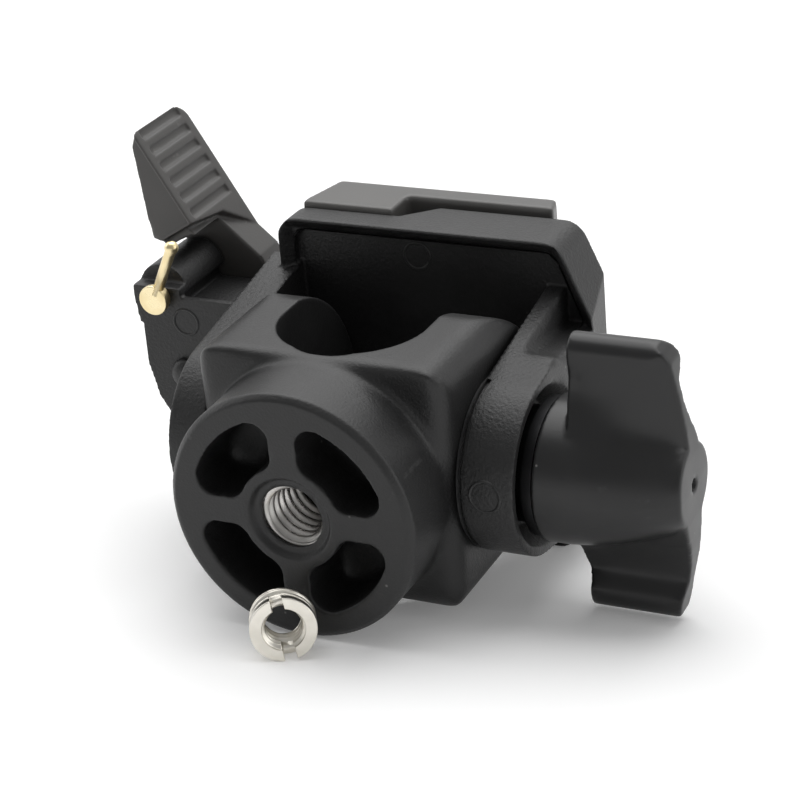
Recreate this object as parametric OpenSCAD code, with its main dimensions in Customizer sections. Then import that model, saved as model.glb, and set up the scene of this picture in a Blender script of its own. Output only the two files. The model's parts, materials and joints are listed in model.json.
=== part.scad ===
// Monopod tilt head with a quick release platform, a two-wing lock knob and a loose thread reducer.
// Every piece is drawn standing: X along the tilt axis towards the knob, Z up the screw axis from the
// mounting face, -Y the side that is uppermost when the head lies down. laid() then lays the head on
// the floor, on its disc rim and on the edge of its camera plate. All sizes are millimetres.

/* [Mounting disc] */
// Radius of the round mounting disc
disc_r = 19; // [18:0.25:19.5]
// Height of the disc under the block
disc_h = 11.5; // [11:0.25:12]
// Inner radius of the four pockets
pocket_in_r = 7.9; // [7.5:0.1:8.5]
// Outer radius of the four pockets
pocket_out_r = 15.2; // [14.5:0.1:16]
// Width of the spokes between the pockets
spoke_w = 4.2; // [3.5:0.1:5]
// Depth of the pockets
pocket_depth = 9.5; // [5:0.5:10]
// Radius of the tripod thread, three eighths of an inch
base_thread_r = 4.7625; // [4.7:0.0125:4.8]

/* [Tilt block] */
// Height of the tilt axis above the mounting face
tilt_z = 25.4; // [25.2:0.1:26]
// Width of the block along the tilt axis
block_w = 39.6; // [39:0.2:39.8]
// Depth of the block across its flats
block_d = 39.2; // [38.4:0.2:39.6]
// Radius of the block's round top
block_top_r = 20; // [19.7:0.1:20.3]
// Radius of the round notch between the cheeks
notch_r = 11.3; // [10.7:0.1:11.7]
// Radius of the block's upright edges
block_side_r = 4.5; // [3:0.5:5]
// Radius of the edges below its cheeks
block_edge_r = 3; // [2:0.5:4]

/* [Fork] */
// Radius of the arm hubs round the tilt axis
hub_r = 13.2; // [12.8:0.1:13.6]
// Thickness of the arm on the knob side
arm_right_t = 8.2; // [7.6:0.2:8.4]
// Thickness of the arm on the lever side
arm_left_t = 5.8; // [5.4:0.2:6]
// Thickness of the friction washers
friction_t = 0.6; // [0.4:0.1:0.8]
// Radius of the tilt bolt
bolt_r = 4; // [3.5:0.25:4]

/* [Platform] */
// Half depth of the platform, across the tilt axis
tray_half_d = 25.4; // [25:0.1:25.6]
// Height of the platform's lower rim
tray_z0 = 45.4; // [45:0.2:46]
// Height of the seat that carries the camera plate
seat_z = 50.5; // [50.2:0.1:51]
// Height of the fixed jaw's top
jaw_z = 55; // [54.5:0.1:55.2]
// Thickness of the platform's walls
wall_t = 2.2; // [1.8:0.1:2.6]

/* [Camera plate] */
// Width of the camera plate at its foot
plate_w = 40.4; // [40:0.1:40.6]
// Width of the camera plate at its top
plate_top_w = 36.5; // [36:0.1:37]
// Length of the camera plate
plate_l = 52.5; // [51.5:0.25:52.5]
// Height of the camera plate's top
plate_z1 = 60.6; // [60:0.1:61]
// Radius of the camera thread, a quarter of an inch
camera_thread_r = 3.175; // [3.1:0.0125:3.2]

/* [Knob] */
// Radius of the knob's barrel at its inner end
barrel_r = 10.7; // [10.4:0.1:11]
// Reach of the wings from the tilt axis
wing_r = 22; // [21:0.25:22]
// Thickness of the wings
wing_t = 5; // [4:0.25:6]
// Far end of the knob along the tilt axis
knob_x1 = 50.6; // [50:0.1:51]
// Lean of the wings about the tilt axis
wing_turn = 3; // [0:1:15]

/* [Reducer] */
// Length of the thread reducer
reducer_l = 5.5; // [5:0.25:6]
// Width of its screwdriver slot
reducer_slot_w = 1.8; // [1.2:0.1:2]

/* [Hidden] */
$fn = 64;
eps = 0.05;

// Fits
run_gap = 0.1;
side_gap = 0.05;

// Colours
cast_black = [0.09, 0.09, 0.09];
knob_black = [0.11, 0.11, 0.12];
lever_grey = [0.30, 0.29, 0.28];
steel = [0.72, 0.72, 0.72];
brass = [0.85, 0.72, 0.40];
nickel = [0.80, 0.78, 0.73];
nylon = [0.85, 0.85, 0.82];
rubber = [0.12, 0.12, 0.12];

// Base
disc_edge = 0.8;
lip_z = 1.5;
insert_r = 6.6;
insert_z1 = 12;
pocket_corner = 2.7;
notch_z = tilt_z - 0.5;
block_low_r = [1.2, 5];
block_top = tilt_z + block_top_r;
high = 80;

// Fork positions along the tilt axis
cheek_x = block_w / 2;
arm_x0 = cheek_x + friction_t;
arm_x1 = arm_x0 + arm_right_t;
arm_left_x1 = arm_x0 + arm_left_t;
arm_top_z = seat_z - 1;
arm_flare_y = 17.8;
arm_rib_x = 23.4;
scoop_foot = [14.6, 31];
scoop_floor = [13.4, 33];
scoop_end_y = 12;
hub_recess_r = [9.2, 12];
hub_recess_depth = 4;
friction_r = 12.6;

// Bolt
bolt_head_af = 13;
bolt_head_t = 3.4;
thrust_t = 5.5;
thrust_r = 8.5;
thrust_collar_r = 10.2;

// Knob
knob_x0 = arm_x1 - hub_recess_depth + thrust_t + run_gap;
barrel_x1 = knob_x1 + 1;
barrel_swell = 1.05;
barrel_taper = 6.25;
barrel_steps = 6;
wing_x0 = [33.7, 31.8];
wing_corner = [4, 1.6];
wing_bead = 1.3;
wing_sweep = [
    [16, 2.4], [14.2, 2.8], [12.6, 3.5], [11, 4.5], [9.6, 5.5], [8.2, 6.5], [6, 7.5], [0, 7.5]
];
wing_hollow = [[0, -3.6], [5.5, -3.6], [9.7, -1.6], [13, -0.5], [15.9, -0.4]];
wing_lead = [[33.7, 3.2], [34.6, 6.45]];
wing_end_t = [3.7, 3];
wing_thin = [7.1, 0.6];
wing_flare = [[34.6, 17.5], [32.3, 11.2]];
roof_round = 0.0055;
roof_steps = 4;
knob_insert_r = 6.5;
knob_insert_l = 12;
knob_cap_x = knob_x0 + knob_insert_l + 2;
end_hole_r = 0.9;
end_hole_depth = 3;

// Platform plan and its leaning knob side
tray_x0 = -23;
tray_x1 = 28.3;
tray_chamfer_x = 23.3;
tray_chamfer_y = 13.9;
tray_chamfer_r = 4;
tray_corner_r = 3.5;
tray_lean = 1.5;
web_t = 2.2;
jaw_over = 1;
ridge_x0 = -2;
ridge_ramp = 5;
ridge_t = 2.5;
ridge_reach = 1;

// Camera plate
plate_x = -0.75;
plate_gap = 0.1;
plate_z0 = seat_z + plate_gap;
plate_lip = 1.4;
plate_notch_x = -5.6;
plate_notch_d = 5;
plate_notch_z1 = 56.5;
plate_well_r = 12;
plate_well_z1 = 55.6;
pad_sink = 0.5;
pad_t = 0.9;
pad_w = 11;
pad_l = 46;
pad_offset = 10.4;

// The head lies on the disc rim and on the camera plate's long edge
lie_angle = atan((plate_l / 2 - disc_r) / (plate_z0 - disc_edge));
floor_z = disc_edge * sin(lie_angle) - disc_r * cos(lie_angle);

// Camera screw and its folding ring
screw_top_z = plate_z1 + 4.8;
screw_shank_r = 2.6;
screw_head_r = 7;
screw_head_t = 2.4;
screw_slot_w = 1.6;
ring_in_r = 7.4;
ring_out_r = 9.2;
ring_t = 1.4;
ring_pin_r = 0.6;
screw_clip_r = 4.2;
clip_t = 0.5;

// Release lever and its pivot
pivot_x = -30.5;
pivot_y = -4;
pivot_r = 2.5;
pivot_head_r = 3.3;
pivot_head_t = 2;
pivot_wall = 1.2;
pivot_end = 1.4;
pivot_clip_r = 4.6;
lever_z0 = seat_z + 0.2;
lever_z1 = 57;
thumb_z0 = 42;
thumb_tip = [-44.45, -38.6];
thumb_heel = [-35.95, -24.4];
thumb_back = [-43.75, -20.8];
thumb_top = [-45.3, -36.1];
thumb_corner_r = [3, 1.4];
thumb_toe = [[1.3, lever_z0], [6.3, lever_z1]];
lever_web_z0 = 43.2;
lever_web_r = 18.9;
lever_web_in = 0.12;
lever_web_lap = 0.06;
lever_heel = [-37.6, -23.3];
lever_front = [-32.7, -18.97];
lever_bend = [-29.5, -16.2];
lever_boss_r = 7.4;
cam_offset = 4.5;
cam_r = 4.75;
cam_lip = 1.1;
cam_lip_z = 52;
lever_washer_t = 0.4;
lever_washer_r = 7;
groove_count = 6;
groove_r = 0.95;
groove_sink = 0.35;
groove_margin = [1.6, 1.8];
groove_end = 0.4;

// Lever housing
house_z0 = 36;
house_z1 = lever_z0 - lever_washer_t;
house_x0 = tray_x0 + 1;
house_front = 14.4;
house_side = [[-43.2, -9.2], [-43.4, -3], [-42, 3], [-38.6, 8.6], [-33, 12.4], [house_x0, 15]];
house_rim = 1.2;
house_pocket = [10.4, 2, house_z1 - house_z0];
house_pocket_x = -36.8;
spring_well_r = 6;
spring_well_z0 = 43;
spring_coil_r = 4.8;
spring_wire_r = 0.45;
spring_turns = 4;
housing_screw_x = -36.2;
housing_screw_y = -1.6;
housing_screw_r = 1.5;
housing_screw_head_r = 2.6;
housing_screw_z0 = house_z0 - 1.8;
housing_screw_z1 = 44;

// Safety catch
boss_x = -40.1;
boss_y = -14.4;
catch_boss_r = 4.3;
boss_slot_y = -15.9;
boss_slot_depth = 2.4;
boss_foot = [-43.75, -9.5];
catch_x = -39.7;
catch_y = -14.35;
catch_pin_r = 1.25;
catch_head_r = 2.4;
catch_head_t = 1.95;
catch_rod_r = 0.85;
catch_rod_l = 9.9;
catch_rod_z = house_z0 - 1.25;
catch_ball_r = 1.1;
catch_lean = 25;
catch_clip_r = 2.2;
catch_sink = 1.4;

// Reducer on the floor
reducer_r = base_thread_r;
reducer_face = [1.85, -6.1];
reducer_turn = 30;
reducer_slot_lean = 10;
reducer_chamfer = 0.35;
reducer_slot_depth = 2.5;

// Lays a standing piece down as the head rests on the floor
module laid() {
    rotate([-(90 - lie_angle), 0, 0]) children();
}

// Extrudes a profile drawn in Y and Z along X, from x0 to x1
module along_x(x0, x1) {
    translate([x0, 0, 0]) rotate([90, 0, 90]) linear_extrude(x1 - x0) children();
}

// Extrudes a profile drawn in X and Z along Y, from y0 to y1
module along_y(y0, y1) {
    translate([0, y1, 0]) rotate([90, 0, 0]) linear_extrude(y1 - y0) children();
}

// Cylinder about the tilt axis, from x0 to x1
module tilt_rod(r, x0, x1, r2 = undef) {
    translate([x0, 0, tilt_z]) rotate([0, 90, 0])
        cylinder(r1 = r, r2 = is_undef(r2) ? r : r2, h = x1 - x0);
}

// Upright cylinder at x, y, from z0 to z1
module post(r, x, y, z0, z1) {
    translate([x, y, z0]) cylinder(r = r, h = z1 - z0);
}

module rounded_rect(w, d, r) {
    square([w - 2 * r, d], center = true);
    square([w, d - 2 * r], center = true);
    for (sx = [-1, 1], sy = [-1, 1])
        translate([sx * (w / 2 - r), sy * (d / 2 - r)]) circle(r);
}

module ring(r_out, r_in) {
    difference() {
        circle(r_out);
        circle(r_in);
    }
}

// Wedge of the first quadrant that leaves out an angle at each side
module wedge(a, reach) {
    polygon([[0, 0], reach * [cos(a), sin(a)], [reach, reach], reach * [sin(a), cos(a)]]);
}

// One kidney pocket in the first quadrant, bounded by two spokes, with round corners
module kidney() {
    h = spoke_w / 2;
    c = pocket_corner;
    r_far = pocket_out_r - c;
    r_near = pocket_in_r + c;
    b_far = asin((h + c) / r_far);
    b_near = asin((h + c) / r_near);
    reach = 2 * disc_r;
    intersection() {
        ring(r_far, r_near);
        translate([h, h]) square(reach);
    }
    intersection() {
        ring(pocket_out_r, r_near);
        wedge(b_far, reach);
    }
    intersection() {
        ring(pocket_out_r - c, pocket_in_r);
        wedge(b_near, reach);
    }
    for (b = [b_far, 90 - b_far]) translate(r_far * [cos(b), sin(b)]) circle(c);
    for (b = [b_near, 90 - b_near]) translate(r_near * [cos(b), sin(b)]) circle(c);
}

module mounting_disc() {
    rotate_extrude($fn = 128) polygon([
        [0, 0], [disc_r - disc_edge, 0], [disc_r, disc_edge], [disc_r, disc_h + block_edge_r],
        [0, disc_h + block_edge_r]
    ]);
}

// Block with a round top about the tilt axis: three extrusions, each with cast edges, common to all
module tilt_block() {
    z0 = disc_h;
    r = block_edge_r;
    up = block_low_r[0];
    under = block_low_r[1];
    half = block_d / 2;
    intersection() {
        along_x(-cheek_x, cheek_x) {
            translate([up - half, z0]) square([block_d - up - under, tilt_z - z0]);
            translate([-half, z0 + up]) square([half, tilt_z - z0 - up]);
            translate([0, z0 + under]) square([half, tilt_z - z0 - under]);
            translate([up - half, z0 + up]) circle(up);
            translate([half - under, z0 + under]) circle(under);
            translate([0, tilt_z]) circle(block_top_r, $fn = 128);
        }
        along_y(-block_d, block_d) {
            translate([-cheek_x + r, z0]) square([block_w - 2 * r, 2 * r]);
            translate([-cheek_x, z0 + r]) square([block_w, block_top - z0 - r]);
            for (s = [-1, 1]) translate([s * (cheek_x - r), z0 + r]) circle(r);
        }
        linear_extrude(block_top) rounded_rect(block_w, block_d, block_side_r);
    }
}

module base_casting() {
    color(cast_black) laid() difference() {
        union() {
            mounting_disc();
            tilt_block();
        }
        for (a = [0 : 90 : 270]) rotate(a) translate([0, 0, -eps]) linear_extrude(pocket_depth) kidney();
        post(base_thread_r, 0, 0, -eps, lip_z + eps);
        post(insert_r, 0, 0, lip_z, insert_z1);
        translate([0, block_d, notch_z]) rotate([90, 0, 0]) cylinder(r = notch_r, h = 2 * block_d);
        translate([-notch_r, -block_d, notch_z]) cube([2 * notch_r, 2 * block_d, high]);
        tilt_rod(bolt_r + run_gap, -cheek_x - eps, cheek_x + eps);
    }
}

module thread_insert() {
    color(steel) laid() difference() {
        post(insert_r, 0, 0, lip_z, insert_z1);
        post(base_thread_r, 0, 0, lip_z - eps, insert_z1 + eps);
    }
}

// Arm outline in Y and Z: a round hub with two flanks that flare to the platform
module arm_outline(r, flare_y, top_z) {
    d = norm([flare_y, top_z - tilt_z]);
    a = atan2(top_z - tilt_z, flare_y) - acos(r / d);
    foot = r * [cos(a), sin(a)] + [0, tilt_z];
    translate([0, tilt_z]) circle(r, $fn = 128);
    polygon([[flare_y, top_z], foot, [-foot[0], foot[1]], [-flare_y, top_z]]);
}

// Arm on the knob side: a scoop in each flank leaves a rib beside the block, and a dish holds the washer
module right_arm() {
    out = 2 * arm_flare_y;
    difference() {
        along_x(arm_x0, arm_x1) arm_outline(hub_r, arm_flare_y, arm_top_z);
        for (s = [-1, 1]) along_x(arm_rib_x, arm_x1 + eps) polygon([
            [s * out, scoop_foot[1]], [s * scoop_foot[0], scoop_foot[1]],
            [s * scoop_floor[0], scoop_floor[1]], [s * scoop_end_y, tray_z0],
            [s * scoop_end_y, arm_top_z + eps], [s * out, arm_top_z + eps]
        ]);
        tilt_rod(hub_recess_r[0], arm_x1 - hub_recess_depth, arm_x1 + eps, hub_recess_r[1]);
    }
}

module left_arm() {
    along_x(-arm_left_x1, -arm_x0) arm_outline(hub_r, arm_flare_y, arm_top_z);
}

// Platform plan: straight on the lever side, chamfered towards the knob
module tray_plan(inset = 0) {
    x0 = tray_x0 + inset;
    x1 = tray_x1 - inset;
    d = tray_half_d - inset;
    xc = tray_chamfer_x - inset / 2;
    yc = tray_chamfer_y - inset / 3;
    r = tray_corner_r - inset / 2;
    rc = tray_chamfer_r - inset / 2;
    side = norm([x1 - xc, d - yc]);
    cx = xc - rc * (side - x1 + xc) / (d - yc);
    tx = cx + rc * (d - yc) / side;
    ty = d - rc + rc * (x1 - xc) / side;
    polygon([
        [x0 + r, -d], [cx, -d], [tx, -ty], [x1, -yc], [x1, yc], [tx, ty], [cx, d], [x0 + r, d], [x0, d - r],
        [x0, r - d]
    ]);
    for (s = [-1, 1]) {
        translate([x0 + r, s * (d - r)]) circle(r);
        translate([cx, s * (d - rc)]) circle(rc);
    }
}

// Half width of the camera plate at a height
function plate_half(z) =
    let (foot_z = plate_z0 + plate_lip, t = max(0, (z - foot_z) / (plate_z1 - foot_z)))
        plate_w / 2 - t * (plate_w - plate_top_w) / 2;

// Fixed jaw over the plate's knob side, and the low ridges that fill the notches in the plate's ends
module seat_walls() {
    foot_x = plate_x + plate_w / 2 + plate_gap;
    ridge_x1 = foot_x + ridge_reach;
    over = jaw_z + jaw_over;
    difference() {
        translate([0, 0, seat_z - eps]) linear_extrude(jaw_z - seat_z + eps) tray_plan();
        along_y(-high, high) polygon([
            [-high, seat_z - jaw_over], [foot_x, seat_z - jaw_over], [foot_x, plate_z0 + plate_lip],
            [plate_x + plate_half(over) + plate_gap, over], [-high, over]
        ]);
    }
    for (y0 = [-tray_half_d, tray_half_d - ridge_t]) along_y(y0, y0 + ridge_t) polygon([
        [ridge_x0 - ridge_ramp / 2, seat_z - eps], [ridge_x0 + ridge_ramp / 2, jaw_z],
        [ridge_x1, jaw_z], [ridge_x1, seat_z - eps]
    ]);
}

// Platform: a tray open below, with the seat and the fixed jaw on top
module platform() {
    difference() {
        translate([0, 0, tray_z0]) linear_extrude(seat_z - tray_z0) tray_plan();
        translate([0, 0, tray_z0 - eps]) linear_extrude(seat_z - tray_z0 - web_t) tray_plan(wall_t);
    }
    seat_walls();
}

// What lies beyond the platform's leaning knob side
module beyond_lean() {
    along_y(-high, high) polygon([
        [tray_x1, tray_z0], [tray_x1 - tray_lean, jaw_z + eps], [high, jaw_z + eps], [high, tray_z0]
    ]);
}

// Housing for the lever's pivot, and a boss with a foot for the safety catch, on the platform's left side
module lever_housing() {
    translate([0, 0, house_z0]) linear_extrude(house_z1 - house_z0)
        polygon(concat([[house_x0, -house_front], [boss_x + 3, -house_front]], house_side));
    post(catch_boss_r, boss_x, boss_y, house_z0, house_z1);
    translate([0, 0, house_z0]) linear_extrude(house_z1 - house_z0)
        polygon([[boss_x - catch_boss_r, boss_y], boss_foot, [boss_x, boss_foot[1]], [boss_x, boss_y]]);
}

// Pocket in the housing's flank, slot in the catch's boss, spring well, and bores for pivot, catch and screw
module lever_housing_cuts() {
    translate([house_pocket_x, -house_front - eps, house_z0 + house_rim]) cube(house_pocket);
    translate([boss_x - 2 * catch_boss_r, boss_slot_y - catch_boss_r, house_z0 - eps])
        cube([4 * catch_boss_r, catch_boss_r, boss_slot_depth + eps]);
    post(pivot_r, pivot_x, pivot_y, house_z0 - eps, house_z1 + eps);
    difference() {
        post(spring_well_r, pivot_x, pivot_y, spring_well_z0, house_z1 + eps);
        post(pivot_r + pivot_wall, pivot_x, pivot_y, spring_well_z0 - eps, house_z1 + 2 * eps);
    }
    post(catch_pin_r + side_gap, catch_x, catch_y, house_z0 - eps, house_z1 + eps);
    post(catch_clip_r + 3 * run_gap, catch_x, catch_y, house_z1 - catch_sink, house_z1 + eps);
    post(housing_screw_r, housing_screw_x, housing_screw_y, house_z0 - eps, housing_screw_z1);
}

module fork_platform() {
    color(cast_black) laid() difference() {
        union() {
            platform();
            left_arm();
            right_arm();
            lever_housing();
        }
        beyond_lean();
        lever_housing_cuts();
        tilt_rod(bolt_r, -arm_left_x1 - eps, arm_x1 + eps);
        translate([-arm_left_x1 - eps, 0, tilt_z]) rotate([0, 90, 0])
            cylinder(d = bolt_head_af / cos(30), h = bolt_head_t + eps, $fn = 6);
    }
}

module tilt_bolt() {
    color(steel) laid() {
        translate([-arm_left_x1, 0, tilt_z]) rotate([0, 90, 0])
            cylinder(d = bolt_head_af / cos(30), h = bolt_head_t, $fn = 6);
        tilt_rod(bolt_r, -arm_left_x1 + bolt_head_t - eps, knob_x0 + knob_insert_l);
    }
}

module friction_washer(side) {
    x0 = side > 0 ? cheek_x + side_gap : -arm_x0;
    difference() {
        tilt_rod(friction_r, x0, x0 + friction_t - side_gap);
        tilt_rod(bolt_r, x0 - eps, x0 + friction_t);
    }
}

module friction_washer_left() {
    color(nylon) laid() friction_washer(-1);
}

module friction_washer_right() {
    color(nylon) laid() friction_washer(1);
}

module thrust_washer() {
    x0 = arm_x1 - hub_recess_depth;
    color(steel) laid() difference() {
        union() {
            tilt_rod(thrust_r, x0, x0 + thrust_t);
            tilt_rod(thrust_collar_r, arm_x1, x0 + thrust_t);
        }
        tilt_rod(bolt_r, x0 - eps, x0 + thrust_t + eps);
    }
}

// Radius of the barrel along its length, t from 0 to 1
function barrel_at(t) = barrel_r + barrel_swell * t - barrel_taper * t * t;

module knob_barrel() {
    side = [
        for (i = [0 : barrel_steps])
            let (t = i / barrel_steps) [barrel_at(t), knob_x0 + t * (barrel_x1 - knob_x0)]
    ];
    rotate([0, 90, 0]) rotate_extrude($fn = 96)
        polygon(concat([[0, knob_x0]], side, [[0, barrel_x1]]));
}

// One wing in Y and Z, with a bead at its tip: hollow on one side, swept into the barrel on the other
module wing_profile() {
    tip = wing_t / 2;
    reach = wing_r - tip;
    bead = reach - wing_bead;
    polygon(concat(wing_hollow, [[bead, -tip], [reach, -tip], [reach, tip], [bead, tip]], wing_sweep));
    translate([reach, 0]) circle(tip);
}

// Two wings, one the half turn of the other: their leading edges are bevelled and they thin towards
// the knob's end
module knob_wings() {
    intersection() {
        union() {
            along_x(wing_x0[0], barrel_x1) rotate(180) wing_profile();
            along_x(wing_x0[1], barrel_x1) wing_profile();
        }
        along_y(-high, high) polygon(concat(
            [[wing_x0[1], -wing_lead[0][1]]], [for (p = wing_lead) [p[0], -p[1]]],
            [[barrel_x1, -wing_end_t[0]], [barrel_x1, wing_end_t[1]]],
            [wing_lead[1], wing_lead[0], [wing_x0[1], wing_lead[0][1]]]
        ));
    }
}

// What the upper wing loses on its swept side as it thins towards the knob's end
module wing_taper() {
    start_x = wing_x0[1];
    end_x = barrel_x1 + eps;
    along_y(-high, 0)
        polygon([[start_x, -wing_thin[0]], [end_x, -wing_thin[1]], [end_x, -high], [start_x, -high]]);
}

// Half of the roof over the knob's end: highest on the axis, curved down to a wing tip and its round corner
function roof_half(corner) =
    let (edge_y = wing_r - corner, edge_x = knob_x1 - roof_round * edge_y * edge_y)
        concat(
            [for (i = [1 : roof_steps]) let (u = edge_y * i / roof_steps) [knob_x1 - roof_round * u * u, u]],
            [for (i = [1 : roof_steps])
                let (a = 90 * i / roof_steps)
                    [edge_x - corner, edge_y] + (corner + eps) * [cos(a), sin(a)]]
        );

module knob_roof() {
    tip_y = wing_r + eps;
    root = wing_flare[1];
    upper = concat(roof_half(wing_corner[0]), [[0, tip_y]]);
    lower = concat(
        roof_half(wing_corner[1]), [[wing_flare[0][0], tip_y], wing_flare[0], root, [0, root[1]]]
    );
    turned = [for (i = [len(upper) - 1 : -1 : 0]) [upper[i][0], -upper[i][1]]];
    translate([0, 0, -high / 2]) linear_extrude(high) polygon(concat(turned, [[knob_x1, 0]], lower));
}

module tilt_knob() {
    color(knob_black) laid() difference() {
        translate([0, 0, tilt_z]) rotate([wing_turn, 0, 0]) intersection() {
            union() {
                knob_barrel();
                difference() {
                    knob_wings();
                    wing_taper();
                }
            }
            knob_roof();
        }
        tilt_rod(knob_insert_r, knob_x0 - eps, knob_x0 + knob_insert_l);
        tilt_rod(bolt_r + run_gap, knob_x0, knob_cap_x);
        tilt_rod(end_hole_r, knob_x1 - end_hole_depth, knob_x1 + eps);
    }
}

module knob_insert() {
    color(brass) laid() difference() {
        tilt_rod(knob_insert_r, knob_x0, knob_x0 + knob_insert_l);
        tilt_rod(bolt_r + side_gap, knob_x0 - eps, knob_x0 + knob_insert_l + eps);
    }
}

// Outline square to the thumb face: round corners at the tip, and a toe that rises from the heel to the arm
module thumb_outline() {
    l = norm(thumb_heel - thumb_tip);
    a = thumb_corner_r[0];
    b = thumb_corner_r[1];
    polygon([
        [a, lever_z1], [l + thumb_toe[1][0], thumb_toe[1][1]], [l + thumb_toe[0][0], thumb_toe[0][1]],
        [l, thumb_z0], [b, thumb_z0], [0, thumb_z0 + b], [0, lever_z1 - a]
    ]);
    translate([a, lever_z1 - a]) circle(a);
    translate([b, thumb_z0 + b]) circle(b);
}

// Thumb pad: a wedge between the outer face and the grooved face
module lever_thumb() {
    face = thumb_heel - thumb_tip;
    intersection() {
        translate([0, 0, thumb_z0]) linear_extrude(lever_z1 - thumb_z0)
            polygon([thumb_top, thumb_tip, lever_front, thumb_back]);
        translate(thumb_tip) rotate(atan2(face[1], face[0])) along_y(-high, high) thumb_outline();
    }
}

// Arm from the pad to the boss
module lever_arm() {
    translate([0, 0, lever_z0]) linear_extrude(lever_z1 - lever_z0) {
        polygon([
            thumb_back, lever_heel, lever_front, lever_bend, [pivot_x + lever_boss_r, pivot_y],
            [pivot_x - lever_boss_r, pivot_y]
        ]);
        translate([pivot_x, pivot_y]) circle(lever_boss_r);
    }
}

// Web under the arm's heel, clear of the housing's boss as the lever swings
module lever_web() {
    lap = (thumb_tip - thumb_heel) * lever_web_lap;
    edge = thumb_back + (lever_heel - thumb_back) * lever_web_in;
    translate([0, 0, lever_web_z0]) linear_extrude(lever_z0 - lever_web_z0 + eps) difference() {
        polygon([edge + lap, lever_heel + lap, lever_heel, lever_front, [pivot_x, pivot_y], edge]);
        translate([pivot_x, pivot_y]) circle(lever_web_r, $fn = 128);
    }
}

// Eccentric cam whose upper edge leans over the camera plate's side
module lever_cam() {
    translate([pivot_x + cam_offset, pivot_y, 0]) {
        translate([0, 0, lever_z0]) cylinder(r = cam_r, h = lever_z1 - lever_z0);
        translate([0, 0, cam_lip_z]) cylinder(r1 = cam_r, r2 = cam_r + cam_lip, h = lever_z1 - cam_lip_z);
    }
}

// Grooves across the thumb face, stopping short of its edges
module thumb_grooves() {
    face = thumb_heel - thumb_tip;
    out = [face[1], -face[0]] / norm(face);
    step = face / (groove_count - 1 + 2 * groove_end);
    for (i = [0 : groove_count - 1])
        let (p = thumb_tip + step * (i + groove_end) + out * groove_sink)
            post(groove_r, p[0], p[1], thumb_z0 + groove_margin[0], lever_z1 - groove_margin[1]);
}

module release_lever() {
    color(lever_grey) laid() difference() {
        union() {
            lever_thumb();
            lever_arm();
            lever_web();
            lever_cam();
        }
        thumb_grooves();
        post(pivot_r + side_gap, pivot_x, pivot_y, lever_z0 - eps, lever_z1 + eps);
    }
}

module lever_pivot_pin() {
    color(steel) laid() {
        post(pivot_r, pivot_x, pivot_y, house_z0, lever_z1 + pivot_end);
        post(pivot_head_r, pivot_x, pivot_y, house_z0 - pivot_head_t, house_z0);
    }
}

module lever_washer() {
    color(nylon) laid() difference() {
        post(lever_washer_r, pivot_x, pivot_y, house_z1, house_z1 + lever_washer_t - side_gap);
        post(pivot_r, pivot_x, pivot_y, house_z1 - eps, lever_z0);
    }
}

module lever_clip() {
    z0 = lever_z1 + side_gap;
    color(steel) laid() difference() {
        post(pivot_clip_r, pivot_x, pivot_y, z0, z0 + 2 * clip_t);
        post(pivot_r, pivot_x, pivot_y, z0 - eps, z0 + 3 * clip_t);
        translate([pivot_x - 3 * pivot_r, pivot_y - pivot_r / 2, z0 - eps])
            cube([3 * pivot_r, pivot_r, 3 * clip_t]);
    }
}

// Pan head screw under the housing
module housing_screw() {
    color(steel) laid() {
        post(housing_screw_r, housing_screw_x, housing_screw_y, house_z0 - eps, housing_screw_z1);
        post(housing_screw_head_r, housing_screw_x, housing_screw_y, housing_screw_z0, house_z0);
    }
}

// Wire of a round spring: one tube swept along a helix about the upright at x, y
module helix_wire(x, y, z0, z1, coil_r, wire_r, turns) {
    sides = 6;
    per_turn = 16;
    rings = turns * per_turn;
    points = [
        for (i = [0 : rings], j = [0 : sides - 1])
            let (a = 360 * i / per_turn, b = 360 * j / sides, r = coil_r + wire_r * cos(b))
                [r * cos(a), r * sin(a), z0 + (z1 - z0) * i / rings + wire_r * sin(b)]
    ];
    walls = [
        for (i = [0 : rings - 1], j = [0 : sides - 1])
            let (k = (j + 1) % sides, p = i * sides, q = p + sides)
                each [[p + j, q + j, q + k], [p + j, q + k, p + k]]
    ];
    caps = [
        [for (j = [0 : sides - 1]) j],
        [for (j = [sides - 1 : -1 : 0]) rings * sides + j]
    ];
    translate([x, y, 0]) polyhedron(points, concat(walls, caps), convexity = 10);
}

module lever_spring() {
    color(steel) laid() helix_wire(
        pivot_x, pivot_y, spring_well_z0 + 2 * spring_wire_r, house_z1 - 2 * spring_wire_r,
        spring_coil_r, spring_wire_r, spring_turns
    );
}

module safety_catch_pin() {
    head_z1 = house_z0 - side_gap;
    color(brass) laid() {
        post(catch_pin_r, catch_x, catch_y, head_z1 - eps, house_z1 - 2 * side_gap);
        post(catch_head_r, catch_x, catch_y, head_z1 - catch_head_t, head_z1);
    }
}

// Thumb rod that stands out of the catch's head, with a ball end
module safety_catch_rod() {
    color(brass) laid() translate([catch_x, catch_y, catch_rod_z])
        rotate([0, 0, catch_lean - 90]) rotate([0, 90, 0]) {
            translate([0, 0, catch_head_r]) cylinder(r = catch_rod_r, h = catch_rod_l - catch_head_r);
            translate([0, 0, catch_rod_l]) sphere(catch_ball_r);
        }
}

module catch_clip() {
    z0 = house_z1 - catch_sink + side_gap;
    color(steel) laid() difference() {
        post(catch_clip_r, catch_x, catch_y, z0, z0 + clip_t);
        post(catch_pin_r, catch_x, catch_y, z0 - eps, z0 + 2 * clip_t);
    }
}

// Plate section in X and Z: a low upright foot under leaning sides
module plate_section() {
    polygon([
        [-plate_w / 2, plate_z0], [plate_w / 2, plate_z0], [plate_w / 2, plate_z0 + plate_lip],
        [plate_top_w / 2, plate_z1], [-plate_top_w / 2, plate_z1], [-plate_w / 2, plate_z0 + plate_lip]
    ]);
}

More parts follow.
